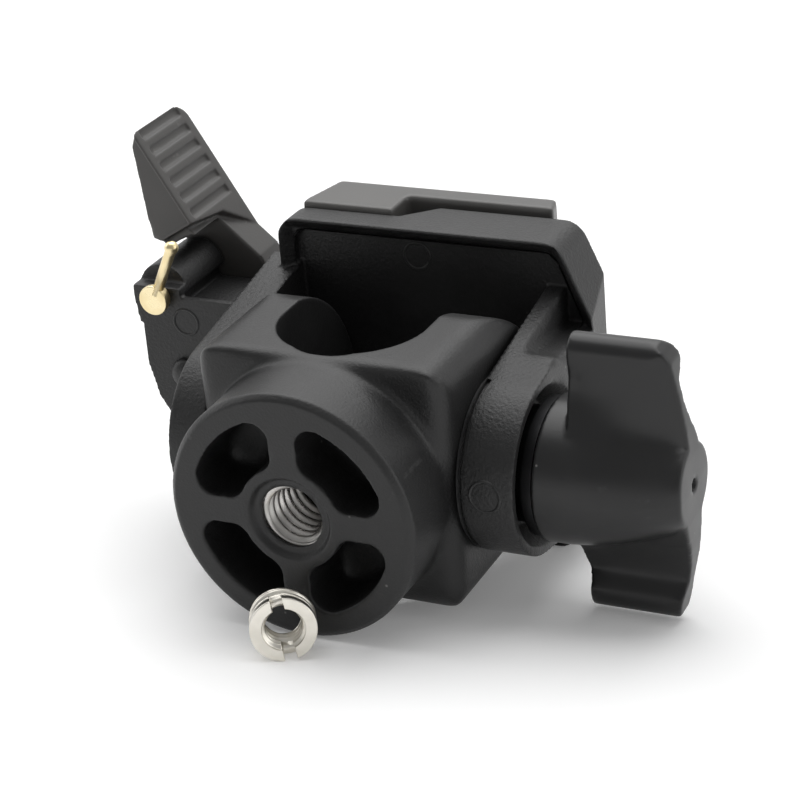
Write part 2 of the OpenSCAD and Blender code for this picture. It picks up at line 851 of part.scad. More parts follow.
// The two long rubber pads lie either side of the screw, sunk into the plate's top
module pad_places() {
    for (s = [-1, 1])
        translate([plate_x + s * pad_offset - pad_w / 2, -pad_l / 2, plate_z1 - pad_sink]) children();
}

module camera_plate() {
    notch = [plate_w, plate_notch_d + eps, plate_notch_z1 - plate_z0 + eps];
    color(cast_black) laid() difference() {
        translate([plate_x, 0, 0]) along_y(-plate_l / 2, plate_l / 2) plate_section();
        for (y0 = [-plate_l / 2 - eps, plate_l / 2 - plate_notch_d])
            translate([plate_notch_x, y0, plate_z0 - eps]) cube(notch);
        post(plate_well_r, plate_x, 0, plate_z0 - eps, plate_well_z1);
        post(screw_shank_r + run_gap, plate_x, 0, plate_z0, plate_z1 + eps);
        pad_places() cube([pad_w, pad_l, 2 * pad_sink]);
    }
}

module plate_pads() {
    color(rubber) laid() pad_places() cube([pad_w, pad_l, pad_t]);
}

module camera_screw() {
    head_z1 = plate_well_z1 - side_gap;
    head_z0 = head_z1 - screw_head_t;
    thread_z0 = plate_z1 + 2 * side_gap + clip_t;
    color(steel) laid() difference() {
        union() {
            post(screw_shank_r, plate_x, 0, head_z1 - eps, thread_z0 + eps);
            post(camera_thread_r, plate_x, 0, thread_z0, screw_top_z);
            post(screw_head_r, plate_x, 0, head_z0, head_z1);
        }
        translate([plate_x - screw_head_r, -screw_slot_w / 2, head_z0 - eps])
            cube([2 * screw_head_r, screw_slot_w, screw_head_t / 3]);
    }
}

// Folding ring round the screw's head, carried on two stub pins
module screw_ring() {
    z0 = plate_well_z1 - side_gap - ring_t;
    color(steel) laid() translate([plate_x, 0, z0]) {
        difference() {
            linear_extrude(ring_t) ring(ring_out_r, ring_in_r);
            translate([-ring_out_r, ring_pin_r, -eps]) cube([2 * ring_out_r, ring_out_r, ring_t + 2 * eps]);
        }
        for (s = [-1, 1]) translate([0, 0, ring_t / 2]) rotate([0, s * 90, 0])
            translate([0, 0, screw_head_r]) cylinder(r = ring_pin_r, h = ring_in_r - screw_head_r + eps);
    }
}

module screw_clip() {
    color(steel) laid() difference() {
        post(screw_clip_r, plate_x, 0, plate_z1 + side_gap, plate_z1 + side_gap + clip_t);
        post(screw_shank_r, plate_x, 0, plate_z1, plate_z1 + 2 * clip_t);
    }
}

module thread_reducer() {
    color(nickel) translate([reducer_face[0], reducer_face[1], floor_z + reducer_r])
        rotate([0, 0, reducer_turn]) rotate([90, 0, 0]) difference() {
            translate([0, 0, -reducer_l]) cylinder(r = reducer_r, h = reducer_l);
            translate([0, 0, -reducer_l - eps]) cylinder(r = camera_thread_r, h = reducer_l + 2 * eps);
            translate([0, 0, -reducer_chamfer]) cylinder(
                r1 = camera_thread_r, r2 = camera_thread_r + reducer_chamfer + eps, h = reducer_chamfer + eps
            );
            rotate(reducer_slot_lean) translate([-reducer_slot_w / 2, -reducer_r - eps, -reducer_slot_depth])
                cube([reducer_slot_w, 2 * reducer_r + 2 * eps, reducer_slot_depth + eps]);
        }
}

base_casting();
thread_insert();
fork_platform();
tilt_bolt();
friction_washer_left();
friction_washer_right();
thrust_washer();
tilt_knob();
knob_insert();
release_lever();
lever_pivot_pin();
lever_washer();
lever_clip();
lever_spring();
housing_screw();
safety_catch_pin();
safety_catch_rod();
catch_clip();
camera_plate();
plate_pads();
camera_screw();
screw_ring();
screw_clip();
thread_reducer();
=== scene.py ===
"""Looks of a monopod tilt head: castings with rounded edges, cut threads, finishes, studio and camera.

Sizes are millimetres in the standing frame of the head: X along the tilt axis towards the knob, Z up the
screw axis from the mounting face, and -Y the side that is uppermost as the head lies. Stance.place() turns
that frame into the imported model's own, in metres.
"""
import json
import logging
import math
from dataclasses import dataclass
from enum import Enum
from typing import Callable, Iterable, Sequence

import bmesh
import bpy
from mathutils import Matrix, Vector
from mathutils.bvhtree import BVHTree


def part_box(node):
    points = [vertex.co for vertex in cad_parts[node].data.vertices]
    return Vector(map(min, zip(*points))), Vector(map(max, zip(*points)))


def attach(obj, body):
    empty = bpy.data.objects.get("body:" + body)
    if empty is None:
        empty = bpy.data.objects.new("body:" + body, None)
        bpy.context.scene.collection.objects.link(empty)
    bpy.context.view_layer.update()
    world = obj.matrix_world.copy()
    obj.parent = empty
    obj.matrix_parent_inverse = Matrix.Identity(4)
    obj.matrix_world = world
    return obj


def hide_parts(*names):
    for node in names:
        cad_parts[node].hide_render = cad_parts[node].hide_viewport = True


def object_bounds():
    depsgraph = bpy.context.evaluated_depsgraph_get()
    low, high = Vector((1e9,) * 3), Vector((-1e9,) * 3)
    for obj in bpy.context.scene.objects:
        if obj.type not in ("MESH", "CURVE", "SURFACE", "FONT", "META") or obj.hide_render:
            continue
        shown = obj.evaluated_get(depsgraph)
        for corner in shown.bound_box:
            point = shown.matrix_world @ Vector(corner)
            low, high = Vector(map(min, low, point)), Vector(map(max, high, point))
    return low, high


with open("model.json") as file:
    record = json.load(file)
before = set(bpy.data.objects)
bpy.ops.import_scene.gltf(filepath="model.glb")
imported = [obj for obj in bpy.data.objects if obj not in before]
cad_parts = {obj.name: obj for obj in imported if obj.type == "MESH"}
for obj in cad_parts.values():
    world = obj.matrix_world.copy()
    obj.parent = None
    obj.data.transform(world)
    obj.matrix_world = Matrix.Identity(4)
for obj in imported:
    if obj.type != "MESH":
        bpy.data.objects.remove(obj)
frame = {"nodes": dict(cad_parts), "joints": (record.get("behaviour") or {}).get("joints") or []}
CAD_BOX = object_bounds()

LOG = logging.getLogger("tilt_head")
MM = 0.001
FULL_TURN = 2 * math.pi
ON_AXIS = 1e-6
FILLET_SHARE = 0.45
RELAX_FACTOR = 0.5

Point2 = tuple[float, float]
Point3 = tuple[float, float, float]
Colour = tuple[float, float, float]


class Body(str, Enum):
    """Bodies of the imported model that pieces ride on."""

    BASE = "base"
    PLATFORM = "platform"
    KNOB = "knob"
    LEVER = "lever"
    CATCH = "catch"
    SCREW = "screw"
    REDUCER = "reducer"


class Slot(str, Enum):
    """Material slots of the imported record."""

    CASTING = "cast_black"
    KNOB = "knob_plastic"
    LEVER = "lever_grey"
    STEEL = "steel"
    BRASS = "brass"
    NICKEL = "nickel"
    NYLON = "nylon"
    RUBBER = "rubber"


class Stance:
    """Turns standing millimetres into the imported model's metres, from the tilt joint's own place."""

    def __init__(self, joints: Sequence[dict]) -> None:
        """Reads the tilt joint.

        Args:
            joints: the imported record's joints.
        """
        tilt = next(j for j in joints if j["name"] == "platform_tilt")
        _, y, z = tilt["pos_m"]
        self.lie_angle: float = math.atan2(z, y)
        self.tilt_z: float = math.hypot(y, z) / MM
        turn = Matrix.Rotation(self.lie_angle - math.pi / 2, 4, "X")
        self.matrix: Matrix = turn @ Matrix.Scale(MM, 4)
        self.inverse: Matrix = self.matrix.inverted()

    def place(self, x: float, y: float, z: float) -> Vector:
        """Packed place of a standing point."""
        return self.matrix @ Vector((x, y, z))

    def upright(self, x: float, y: float, z: float) -> Matrix:
        """Matrix of a piece that stands on its Z axis at a standing point."""
        return self.matrix @ Matrix.Translation((x, y, z))

    def along_tilt(self, x: float) -> Matrix:
        """Matrix of a piece whose Z axis runs along the tilt axis from x."""
        return self.matrix @ Matrix.Translation((x, 0, self.tilt_z)) @ Matrix.Rotation(math.pi / 2, 4, "Y")


STANCE = Stance(frame["joints"])


# Mesh helpers


def new_piece(name: str, mesh: bpy.types.Mesh) -> bpy.types.Object:
    """Links a mesh to the scene as a smooth shaded piece.

    Args:
        name: the piece's name.
        mesh: its mesh, in metres.

    Returns:
        The new object.
    """
    piece = bpy.data.objects.new(name, mesh)
    bpy.context.scene.collection.objects.link(piece)
    mesh.polygons.foreach_set("use_smooth", [True] * len(mesh.polygons))
    return piece


def piece_from(name: str, shape: bmesh.types.BMesh) -> bpy.types.Object:
    """Turns a shape into a smooth shaded piece, and frees the shape.

    Args:
        name: the piece's name.
        shape: its shape, in metres.

    Returns:
        The new piece.
    """
    mesh = bpy.data.meshes.new(name)
    shape.to_mesh(mesh)
    shape.free()
    return new_piece(name, mesh)


def bake_modifiers(piece: bpy.types.Object) -> None:
    """Replaces a piece's mesh by what its modifiers make of it.

    Args:
        piece: the piece, which keeps no modifiers.
    """
    graph = bpy.context.evaluated_depsgraph_get()
    mesh = bpy.data.meshes.new_from_object(piece.evaluated_get(graph))
    piece.modifiers.clear()
    old = piece.data
    piece.data = mesh
    bpy.data.meshes.remove(old)
    mesh.name = piece.name


def fillet(points: Sequence[Point2], radius: float, steps: int = 5) -> list[Point2]:
    """Rounds the inner corners of an open profile.

    Args:
        points: the profile's corners.
        radius: wanted radius, cut down where a side is short.
        steps: segments in each rounded corner.

    Returns:
        The rounded profile.
    """
    path = [points[0]]
    for before, here, after in zip(points, points[1:], points[2:]):
        corner = Vector(here)
        side_a = Vector(before) - corner
        side_b = Vector(after) - corner
        half = side_a.angle(side_b) / 2
        reach = min(radius / math.tan(half), FILLET_SHARE * side_a.length, FILLET_SHARE * side_b.length)
        start = corner + side_a.normalized() * reach
        end = corner + side_b.normalized() * reach
        for i in range(steps + 1):
            t = i / steps
            spot = start.lerp(corner, t).lerp(corner.lerp(end, t), t)
            path.append((spot.x, spot.y))
    path.append(points[-1])
    return path


RowShape = Callable[[float], Point2]


def plain_rows(profile: Iterable[Point2]) -> list[RowShape]:
    """Rows of a lathe for a profile that is the same all round."""
    return [lambda angle, p=p: p for p in profile]


def lathe(name: str, rows: Sequence[RowShape], matrix: Matrix, segments: int = 72,
          closed: bool = False) -> bpy.types.Object:
    """Turns rows of radius and height into a closed solid about the Z axis.

    Args:
        name: the piece's name.
        rows: each gives radius and height at an angle; a solid without a bore starts and ends on the axis.
        matrix: place of the piece's own frame, from millimetres.
        segments: steps round the axis.
        closed: True joins the last row to the first, for a ring.

    Returns:
        The new piece.
    """
    shape = bmesh.new()
    rings: list[list[bmesh.types.BMVert]] = []
    for row in rows:
        if row(0)[0] < ON_AXIS:
            rings.append([shape.verts.new((0, 0, row(0)[1]))])
            continue
        ring = []
        for i in range(segments):
            angle = FULL_TURN * i / segments
            r, z = row(angle)
            ring.append(shape.verts.new((r * math.cos(angle), r * math.sin(angle), z)))
        rings.append(ring)
    pairs = list(zip(rings, rings[1:]))
    if closed:
        pairs.append((rings[-1], rings[0]))
    for low, high in pairs:
        for i in range(segments):
            j = (i + 1) % segments
            corners = [low[i % len(low)], low[j % len(low)], high[j % len(high)], high[i % len(high)]]
            shape.faces.new(list(dict.fromkeys(corners)))
    bmesh.ops.recalc_face_normals(shape, faces=shape.faces)
    shape.transform(matrix)
    return piece_from(name, shape)


@dataclass(frozen=True)
class Thread:
    """One screw thread: its major radius, pitch and depth, how round its crests are and how wide."""

    major_r: float
    pitch: float
    depth: float
    roundness: float = 0.5
    slimness: float = 1.0
    steps_per_turn: int = 12

    def wave(self, angle: float, z: float) -> float:
        """Height of the thread's crest at a place.

        Args:
            angle: angle round the axis.
            z: height along the axis.

        Returns:
            The height, from 0 to 1.
        """
        phase = (z / self.pitch - angle / FULL_TURN) % 1.0
        sharp = 1 - abs(2 * phase - 1)
        smooth = 0.5 - 0.5 * math.cos(FULL_TURN * phase)
        return ((1 - self.roundness) * sharp + self.roundness * smooth) ** self.slimness

    def rows(self, z0: float, z1: float, fade: float, inside: bool = False) -> list[RowShape]:
        """Rows of a lathe along the thread.

        Args:
            z0: where the thread starts.
            z1: where it ends.
            fade: length over which the thread rises at each end.
            inside: True for the thread of a hole, whose crests point inwards.

        Returns:
            Rows from z0 to z1.
        """
        count = max(2, round(abs(z1 - z0) / self.pitch * self.steps_per_turn))

        def row(z: float) -> RowShape:
            """Row of the lathe at one height."""
            rise = min(1.0, abs(z - z0) / fade, abs(z1 - z) / fade)

            def shape(angle: float) -> Point2:
                """Radius and height at an angle."""
                crest = self.wave(angle, z) * rise
                groove = crest if inside else 1 - crest
                return self.major_r - self.depth * groove, z

            return shape

        return [row(z0 + (z1 - z0) * i / count) for i in range(count + 1)]


@dataclass(frozen=True)
class Softening:
    """Rounds the edges of one region of a casting: how often its surface is relaxed, and where."""

    passes: int
    where: Callable[[Vector], float] | None = None


def cast_copy(node: str, name: str, voxel: float, softenings: Sequence[Softening],
              keep: float, reshape: Callable[[Vector], Vector] | None = None,
              grid: Matrix | None = None) -> bpy.types.Object:
    """Copies a CAD node as a casting with rounded edges and blended corners.

    Args:
        node: the CAD node that is copied.
        name: the new piece's name.
        voxel: size of the grid that the surface is rebuilt on, in millimetres.
        softenings: how far each region's edges are rounded.
        keep: share of the faces that is kept after rounding.
        reshape: moves a standing point of the rebuilt surface, for small cast details.
        grid: turns the standing head to the grid, so that the piece's long edges run along it.

    Returns:
        The new piece.
    """
    grid = grid or Matrix()
    piece = new_piece(name, frame["nodes"][node].data.copy())
    piece.data.materials.clear()
    piece.data.transform(grid @ STANCE.inverse)
    remesh = piece.modifiers.new("rebuild", "REMESH")
    remesh.mode = "VOXEL"
    remesh.voxel_size = voxel
    bake_modifiers(piece)
    piece.data.transform(grid.inverted())
    for i, softening in enumerate(softenings):
        smooth = piece.modifiers.new(f"soften_{i}", "SMOOTH")
        smooth.factor = RELAX_FACTOR
        smooth.iterations = softening.passes
        if softening.where is not None:
            group = piece.vertex_groups.new(name=f"region_{i}")
            for v in piece.data.vertices:
                weight = softening.where(v.co)
                if weight > 0:
                    group.add([v.index], weight, "REPLACE")
            smooth.vertex_group = group.name
    bake_modifiers(piece)
    piece.vertex_groups.clear()
    if reshape is not None:
        for v in piece.data.vertices:
            v.co = reshape(v.co)
    thin = piece.modifiers.new("thin", "DECIMATE")
    thin.ratio = keep
    bake_modifiers(piece)
    piece.data.transform(STANCE.matrix)
    piece.data.polygons.foreach_set("use_smooth", [True] * len(piece.data.polygons))
    return piece


def smoothstep(low: float, high: float, value: float) -> float:
    """Smooth step from 0 at low to 1 at high."""
    t = min(1.0, max(0.0, (value - low) / (high - low)))
    return t * t * (3 - 2 * t)


@dataclass(frozen=True)
class EjectorMark:
    """Round mark that a mould's ejector pin leaves on a casting."""

    name: str
    eye: Point3
    towards: Point3
    radius: float
    line_r: float = 0.3
    rise: float = 0.12
    steps: int = 48
    sides: int = 10

    def build(self, casting: bpy.types.Object) -> bpy.types.Object:
        """Lays a low raised ring on a casting's surface.

        Args:
            casting: the piece that carries the mark.

        Returns:
            The ring.
        """
        tree = BVHTree.FromObject(casting, bpy.context.evaluated_depsgraph_get())
        eye = STANCE.place(*self.eye)
        view = (STANCE.place(*self.towards) - eye).normalized()
        across = view.orthogonal().normalized()
        aside = view.cross(across)
        shape = bmesh.new()
        rings = []
        for i in range(self.steps):
            angle = FULL_TURN * i / self.steps
            outward = across * math.cos(angle) + aside * math.sin(angle)
            spot, normal, _, _ = tree.ray_cast(eye + outward * self.radius * MM, view)
            if spot is None:
                continue
            middle = spot - normal * (self.line_r - self.rise) * MM
            ring = []
            for k in range(self.sides):
                turn = FULL_TURN * k / self.sides
                swing = outward * math.cos(turn) + normal * math.sin(turn)
                ring.append(shape.verts.new(middle + swing * self.line_r * MM))
            rings.append(ring)
        for low, high in zip(rings, rings[1:] + rings[:1]):
            for k in range(self.sides):
                j = (k + 1) % self.sides
                shape.faces.new((low[k], low[j], high[j], high[k]))
        bmesh.ops.recalc_face_normals(shape, faces=shape.faces)
        return piece_from(self.name, shape)


# Shader helpers


Sockets = dict[str, bpy.types.NodeSocket]


class Nodes:
    """Short way to add nodes and links to one node tree."""

    def __init__(self, tree: bpy.types.NodeTree) -> None:
        """Holds the tree that nodes are added to."""
        self.tree = tree

    def add(self, kind: str, **inputs: object) -> bpy.types.Node:
        """Adds a node.

        Args:
            kind: the node's type name.
            inputs: settings of the node, and its sockets' values or links by socket name.

        Returns:
            The node.
        """
        node = self.tree.nodes.new(kind)
        for key, value in inputs.items():
            if hasattr(node, key):
                setattr(node, key, value)
            else:
                self.feed(node.inputs[key], value)
        return node

    def feed(self, socket: bpy.types.NodeSocket, value: object) -> None:
        """Links a socket to another one, or sets its value.

        Args:
            socket: the socket that is fed.
            value: the socket that feeds it, or its value.
        """
        if isinstance(value, bpy.types.NodeSocket):
            self.tree.links.new(value, socket)
        else:
            socket.default_value = value

    def math(self, operation: str, a: object, b: object = 0.0) -> bpy.types.NodeSocket:
        """Works out a sum with a Math node.

        Args:
            operation: the node's operation.
            a: first value or socket.
            b: second value or socket.

        Returns:
            The node's output.
        """
        node = self.tree.nodes.new("ShaderNodeMath")
        node.operation = operation
        self.feed(node.inputs[0], a)
        self.feed(node.inputs[1], b)
        return node.outputs[0]

    def band(self, value: object, low: float, high: float) -> bpy.types.NodeSocket:
        """Steps smoothly from 0 to 1.

        Args:
            value: value or socket that is stepped.
            low: where the step starts.
            high: where it ends.

        Returns:
            The step's output.
        """
        node = self.tree.nodes.new("ShaderNodeMapRange")
        node.interpolation_type = "SMOOTHSTEP"
        self.feed(node.inputs["Value"], value)
        node.inputs["From Min"].default_value = low
        node.inputs["From Max"].default_value = high
        return node.outputs["Result"]

    def blend(self, share: object, a: object, b: object) -> bpy.types.NodeSocket:
        """Mixes two colours.

        Args:
            share: share of the second colour, as a value or socket.
            a: first colour or socket.
            b: second colour or socket.

        Returns:
            The mixed colour.
        """
        node = self.tree.nodes.new("ShaderNodeMix")
        node.data_type = "RGBA"
        self.feed(node.inputs[0], share)
        self.feed(node.inputs[6], a)
        self.feed(node.inputs[7], b)
        return node.outputs[2]


def group_tree(name: str, inputs: dict[str, float],
               outputs: Sequence[str]) -> tuple[Nodes, Sockets, Sockets]:
    """Starts a shader node group.

    Args:
        name: the group's name.
        inputs: its value inputs and their defaults.
        outputs: its value outputs.

    Returns:
        A node helper, the input sockets by name, and the output sockets by name.
    """
    tree = bpy.data.node_groups.new(name, "ShaderNodeTree")
    for key, value in inputs.items():
        socket = tree.interface.new_socket(key, in_out="INPUT", socket_type="NodeSocketFloat")
        socket.default_value = value
    for key in outputs:
        tree.interface.new_socket(key, in_out="OUTPUT", socket_type="NodeSocketFloat")
    entry = tree.nodes.new("NodeGroupInput")
    leave = tree.nodes.new("NodeGroupOutput")
    return Nodes(tree), {k: entry.outputs[k] for k in inputs}, {k: leave.inputs[k] for k in outputs}


class Effects:
    """Shared surface effects, each a node group that is built once."""

    def __init__(self) -> None:
        """Builds the groups."""
        self.coat = self._powder_coat()
        self.wear = self._edge_wear()
        self.dust = self._dust()
        self.turning = self._turning()

    @staticmethod
    def _powder_coat() -> bpy.types.NodeTree:
        """Fine orange peel of a powder coat over a cast skin, as height and tone.

        Returns:
            The group.
        """
        n, take, give = group_tree("powder_coat", {"Grain": 2600.0, "Wave": 260.0}, ["Height", "Tone"])
        place = n.add("ShaderNodeTexCoord").outputs["Object"]
        grain = n.add("ShaderNodeTexNoise", Vector=place, Scale=take["Grain"], Detail=3.0, Roughness=0.55)
        wave = n.add("ShaderNodeTexNoise", Vector=place, Scale=take["Wave"], Detail=2.0)
        cloud = n.add("ShaderNodeTexNoise", Vector=place, Scale=70.0, Detail=3.0)
        height = n.math("ADD", n.math("MULTIPLY", grain.outputs["Fac"], 0.7),
                        n.math("MULTIPLY", wave.outputs["Fac"], 0.5))
        n.feed(give["Height"], height)
        n.feed(give["Tone"], n.band(cloud.outputs["Fac"], 0.3, 0.7))
        return n.tree

    @staticmethod
    def _edge_wear() -> bpy.types.NodeTree:
        """Mask of rubbed edges, broken up by noise.

        Returns:
            The group.
        """
        n, take, give = group_tree("edge_wear", {"Start": 0.53, "End": 0.6, "Breakup": 900.0}, ["Mask"])
        point = n.add("ShaderNodeNewGeometry").outputs["Pointiness"]
        place = n.add("ShaderNodeTexCoord").outputs["Object"]
        noise = n.add("ShaderNodeTexNoise", Vector=place, Scale=take["Breakup"], Detail=4.0)
        edge = n.tree.nodes.new("ShaderNodeMapRange")
        n.feed(edge.inputs["Value"], point)
        n.feed(edge.inputs["From Min"], take["Start"])
        n.feed(edge.inputs["From Max"], take["End"])
        broken = n.band(noise.outputs["Fac"], 0.4, 0.66)
        n.feed(give["Mask"], n.math("MULTIPLY", edge.outputs["Result"], broken))
        return n.tree

    @staticmethod
    def _dust() -> bpy.types.NodeTree:
        """Mask of a few small dust specks.

        Returns:
            The group.
        """
        n, take, give = group_tree("dust", {"Scale": 420.0, "Amount": 0.035}, ["Mask"])
        place = n.add("ShaderNodeTexCoord").outputs["Object"]
        cells = n.add("ShaderNodeTexVoronoi", Vector=place, Scale=take["Scale"])
        pick = n.add("ShaderNodeSeparateColor", Color=cells.outputs["Color"])
        rare = n.math("LESS_THAN", pick.outputs["Red"], take["Amount"])
        speck = n.math("SUBTRACT", 1.0, n.band(cells.outputs["Distance"], 0.03, 0.12))
        n.feed(give["Mask"], n.math("MULTIPLY", rare, speck))
        return n.tree

    @staticmethod
    def _turning() -> bpy.types.NodeTree:
        """Fine marks of a turning tool, as height and tone.

        Returns:
            The group.
        """
        n, take, give = group_tree("turning_marks", {"Scale": 900.0}, ["Height", "Tone"])
        place = n.add("ShaderNodeTexCoord").outputs["Object"]
        scratch = n.add("ShaderNodeTexNoise", Vector=place, Scale=take["Scale"], Detail=5.0, Roughness=0.7)
        cloud = n.add("ShaderNodeTexNoise", Vector=place, Scale=220.0, Detail=3.0)
        n.feed(give["Height"], scratch.outputs["Fac"])
        n.feed(give["Tone"], n.band(cloud.outputs["Fac"], 0.35, 0.65))
        return n.tree


EFFECTS = Effects()


@dataclass(frozen=True)
class Coat:
    """Painted or moulded finish with grain, rubbed edges and dust."""

    name: str
    slot: Slot
    colour: Colour
    shade: Colour
    roughness: float
    grain: float
    grain_height: float
    worn: Colour
    wear: float
    dust: float = 0.0
    specular: float = 0.5
    dust_colour: Colour = (0.32, 0.31, 0.3)
    roughness_spread: float = 0.07

    def material(self) -> bpy.types.Material:
        """Builds the finish.

        Returns:
            The material.
        """
        material, n, shader = new_material(self.name)
        coat = n.add("ShaderNodeGroup", node_tree=EFFECTS.coat)
        coat.inputs["Grain"].default_value = self.grain
        wear = n.add("ShaderNodeGroup", node_tree=EFFECTS.wear)
        colour = n.blend(coat.outputs["Tone"], (*self.colour, 1), (*self.shade, 1))
        rubbed = n.math("MULTIPLY", wear.outputs["Mask"], self.wear)
        colour = n.blend(rubbed, colour, (*self.worn, 1))
        if self.dust > 0:
            dust = n.add("ShaderNodeGroup", node_tree=EFFECTS.dust)
            settled = n.math("MULTIPLY", dust.outputs["Mask"], self.dust)
            colour = n.blend(settled, colour, (*self.dust_colour, 1))
        n.feed(shader.inputs["Base Color"], colour)
        rough = n.math("MULTIPLY_ADD", coat.outputs["Tone"], self.roughness_spread)
        rough.node.inputs[2].default_value = self.roughness
        n.feed(shader.inputs["Roughness"], rough)
        shader.inputs["Specular IOR Level"].default_value = self.specular
        bump = n.add("ShaderNodeBump", Height=coat.outputs["Height"])
        bump.inputs["Strength"].default_value = 1.0
        bump.inputs["Distance"].default_value = self.grain_height * MM
        n.feed(shader.inputs["Normal"], bump.outputs["Normal"])
        return material


@dataclass(frozen=True)
class Metal:
    """Bare machined or plated metal."""

    name: str
    slot: Slot
    colour: Colour
    shade: Colour
    roughness: float
    scratch: float = 0.006
    roughness_spread: float = 0.1

    def material(self) -> bpy.types.Material:
        """Builds the finish.

        Returns:
            The material.
        """
        material, n, shader = new_material(self.name)
        marks = n.add("ShaderNodeGroup", node_tree=EFFECTS.turning)
        colour = n.blend(marks.outputs["Tone"], (*self.colour, 1), (*self.shade, 1))
        n.feed(shader.inputs["Base Color"], colour)
        shader.inputs["Metallic"].default_value = 1.0
        rough = n.math("MULTIPLY_ADD", marks.outputs["Tone"], self.roughness_spread)
        rough.node.inputs[2].default_value = self.roughness
        n.feed(shader.inputs["Roughness"], rough)
        bump = n.add("ShaderNodeBump", Height=marks.outputs["Height"])
        bump.inputs["Distance"].default_value = self.scratch * MM
        n.feed(shader.inputs["Normal"], bump.outputs["Normal"])
        return material


def new_material(name: str) -> tuple[bpy.types.Material, Nodes, bpy.types.Node]:
    """Starts a material.

    Args:
        name: the material's name.

    Returns:
        The material, a node helper for it, and its Principled shader.
    """
    material = bpy.data.materials.new(name)
    material.use_nodes = True
    shader = material.node_tree.nodes["Principled BSDF"]
    return material, Nodes(material.node_tree), shader


class Finishes:
    """Every finish of the head, by name."""

    def __init__(self) -> None:
        """Builds the materials."""
        self.casting = Coat(
            "black_powder_coat", Slot.CASTING, colour=(0.013, 0.013, 0.0132), shade=(0.017, 0.017, 0.0172),
            roughness=0.42, grain=2600.0, grain_height=0.09, worn=(0.08, 0.08, 0.08), wear=0.3, dust=0.35,
            specular=0.4)
        self.fork = Coat(
            "grained_powder_coat", Slot.CASTING, colour=(0.013, 0.013, 0.0132),
            shade=(0.018, 0.018, 0.0182), roughness=0.42, grain=2100.0, grain_height=0.17,
            worn=(0.08, 0.08, 0.08), wear=0.35, dust=0.35, specular=0.4)
        self.plate = Coat(
            "grey_anodised", Slot.CASTING, colour=(0.075, 0.073, 0.07), shade=(0.088, 0.086, 0.082),
            roughness=0.34, grain=2800.0, grain_height=0.012, worn=(0.2, 0.2, 0.19), wear=0.3)
        self.knob = Coat(
            "satin_black_plastic", Slot.KNOB, colour=(0.012, 0.012, 0.0124), shade=(0.015, 0.015, 0.0154),
            roughness=0.32, grain=1500.0, grain_height=0.01, worn=(0.05, 0.05, 0.05), wear=0.25, dust=0.8,
            specular=0.4)
        self.lever = Coat(
            "warm_grey_paint", Slot.LEVER, colour=(0.054, 0.0515, 0.049), shade=(0.063, 0.06, 0.0575),
            roughness=0.42, grain=2200.0, grain_height=0.02, worn=(0.22, 0.21, 0.2), wear=0.3)
        self.nylon = Coat(
            "dark_nylon", Slot.NYLON, colour=(0.016, 0.016, 0.017), shade=(0.022, 0.022, 0.023),
            roughness=0.5, grain=1800.0, grain_height=0.01, worn=(0.06, 0.06, 0.06), wear=0.2)
        self.rubber = Coat(
            "black_rubber", Slot.RUBBER, colour=(0.012, 0.012, 0.012), shade=(0.02, 0.02, 0.02),
            roughness=0.7, grain=3000.0, grain_height=0.03, worn=(0.05, 0.05, 0.05), wear=0.3, dust=0.6)
        self.steel = Metal(
            "bright_steel", Slot.STEEL, colour=(0.58, 0.56, 0.54), shade=(0.46, 0.45, 0.43), roughness=0.26)
        # Black oxide: the tilt bolt's own finish, and painted shade on the thrust washer, which is darkened
        # to stand in for the shadow inside the hub's recess.
        self.dark_steel_with_painted_shade = Metal(
            "black_oxide_steel_and_painted_shade", Slot.STEEL, colour=(0.03, 0.03, 0.031), shade=(0.02, 0.02, 0.021),
            roughness=0.4)
        self.brass = Metal(
            "pale_brass", Slot.BRASS, colour=(0.86, 0.74, 0.47), shade=(0.78, 0.65, 0.38), roughness=0.26)
        self.nickel = Metal(
            "warm_nickel", Slot.NICKEL, colour=(0.8, 0.77, 0.7), shade=(0.72, 0.69, 0.62), roughness=0.3)
        self.made: dict[str, bpy.types.Material] = {}

    def apply(self, piece: bpy.types.Object, finish: Coat | Metal) -> None:
        """Gives a piece its finish.

        Args:
            piece: the piece.
            finish: its finish, whose material is made at its first use.
        """
        if finish.name not in self.made:
            self.made[finish.name] = finish.material()
        piece.data.materials.clear()
        piece.data.materials.append(self.made[finish.name])


FINISHES = Finishes()


def settle(piece: bpy.types.Object, body: Body, finish: Coat | Metal, *nodes: str) -> bpy.types.Object:
    """Dresses a piece, lets it ride on its body and hides the CAD nodes it stands for.

    Args:
        piece: the piece.
        body: the body it moves with.
        finish: its finish.
        nodes: CAD nodes that it replaces.

    Returns:
        The piece.
    """
    FINISHES.apply(piece, finish)
    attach(piece, body.value)
    if nodes:
        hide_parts(*nodes)
    LOG.info("%s rides on %s, %d faces", piece.name, body.value, len(piece.data.polygons))
    return piece


def finish_nodes(finish: Coat | Metal, *nodes: str) -> None:
    """Gives CAD nodes that show as they are a finish.

    Args:
        finish: the finish.
        nodes: names of the CAD nodes.
    """
    for node in nodes:
        FINISHES.apply(frame["nodes"][node], finish)
        LOG.info("%s keeps its solid", node)


def cut_away(piece: bpy.types.Object, tool: bmesh.types.BMesh) -> None:
    """Cuts a tool's shape out of a piece, and frees the tool.

    Args:
        piece: the piece that is cut.
        tool: the closed shape that is taken away, in metres.
    """
    cutter = piece_from("cutter", tool)
    cut = piece.modifiers.new("cut", "BOOLEAN")
    cut.operation = "DIFFERENCE"
    cut.solver = "EXACT"
    cut.object = cutter
    bake_modifiers(piece)
    bpy.data.objects.remove(cutter)


def slotted(piece: bpy.types.Object, matrix: Matrix, size: Point3) -> None:
    """Cuts a straight slot into a piece.

    Args:
        piece: the piece that is cut.
        matrix: place of the slot's middle, from millimetres.
        size: its width, length and depth.
    """
    tool = bmesh.new()
    bmesh.ops.create_cube(tool, size=1.0, matrix=matrix @ Matrix.Diagonal((*size, 1)))
    cut_away(piece, tool)


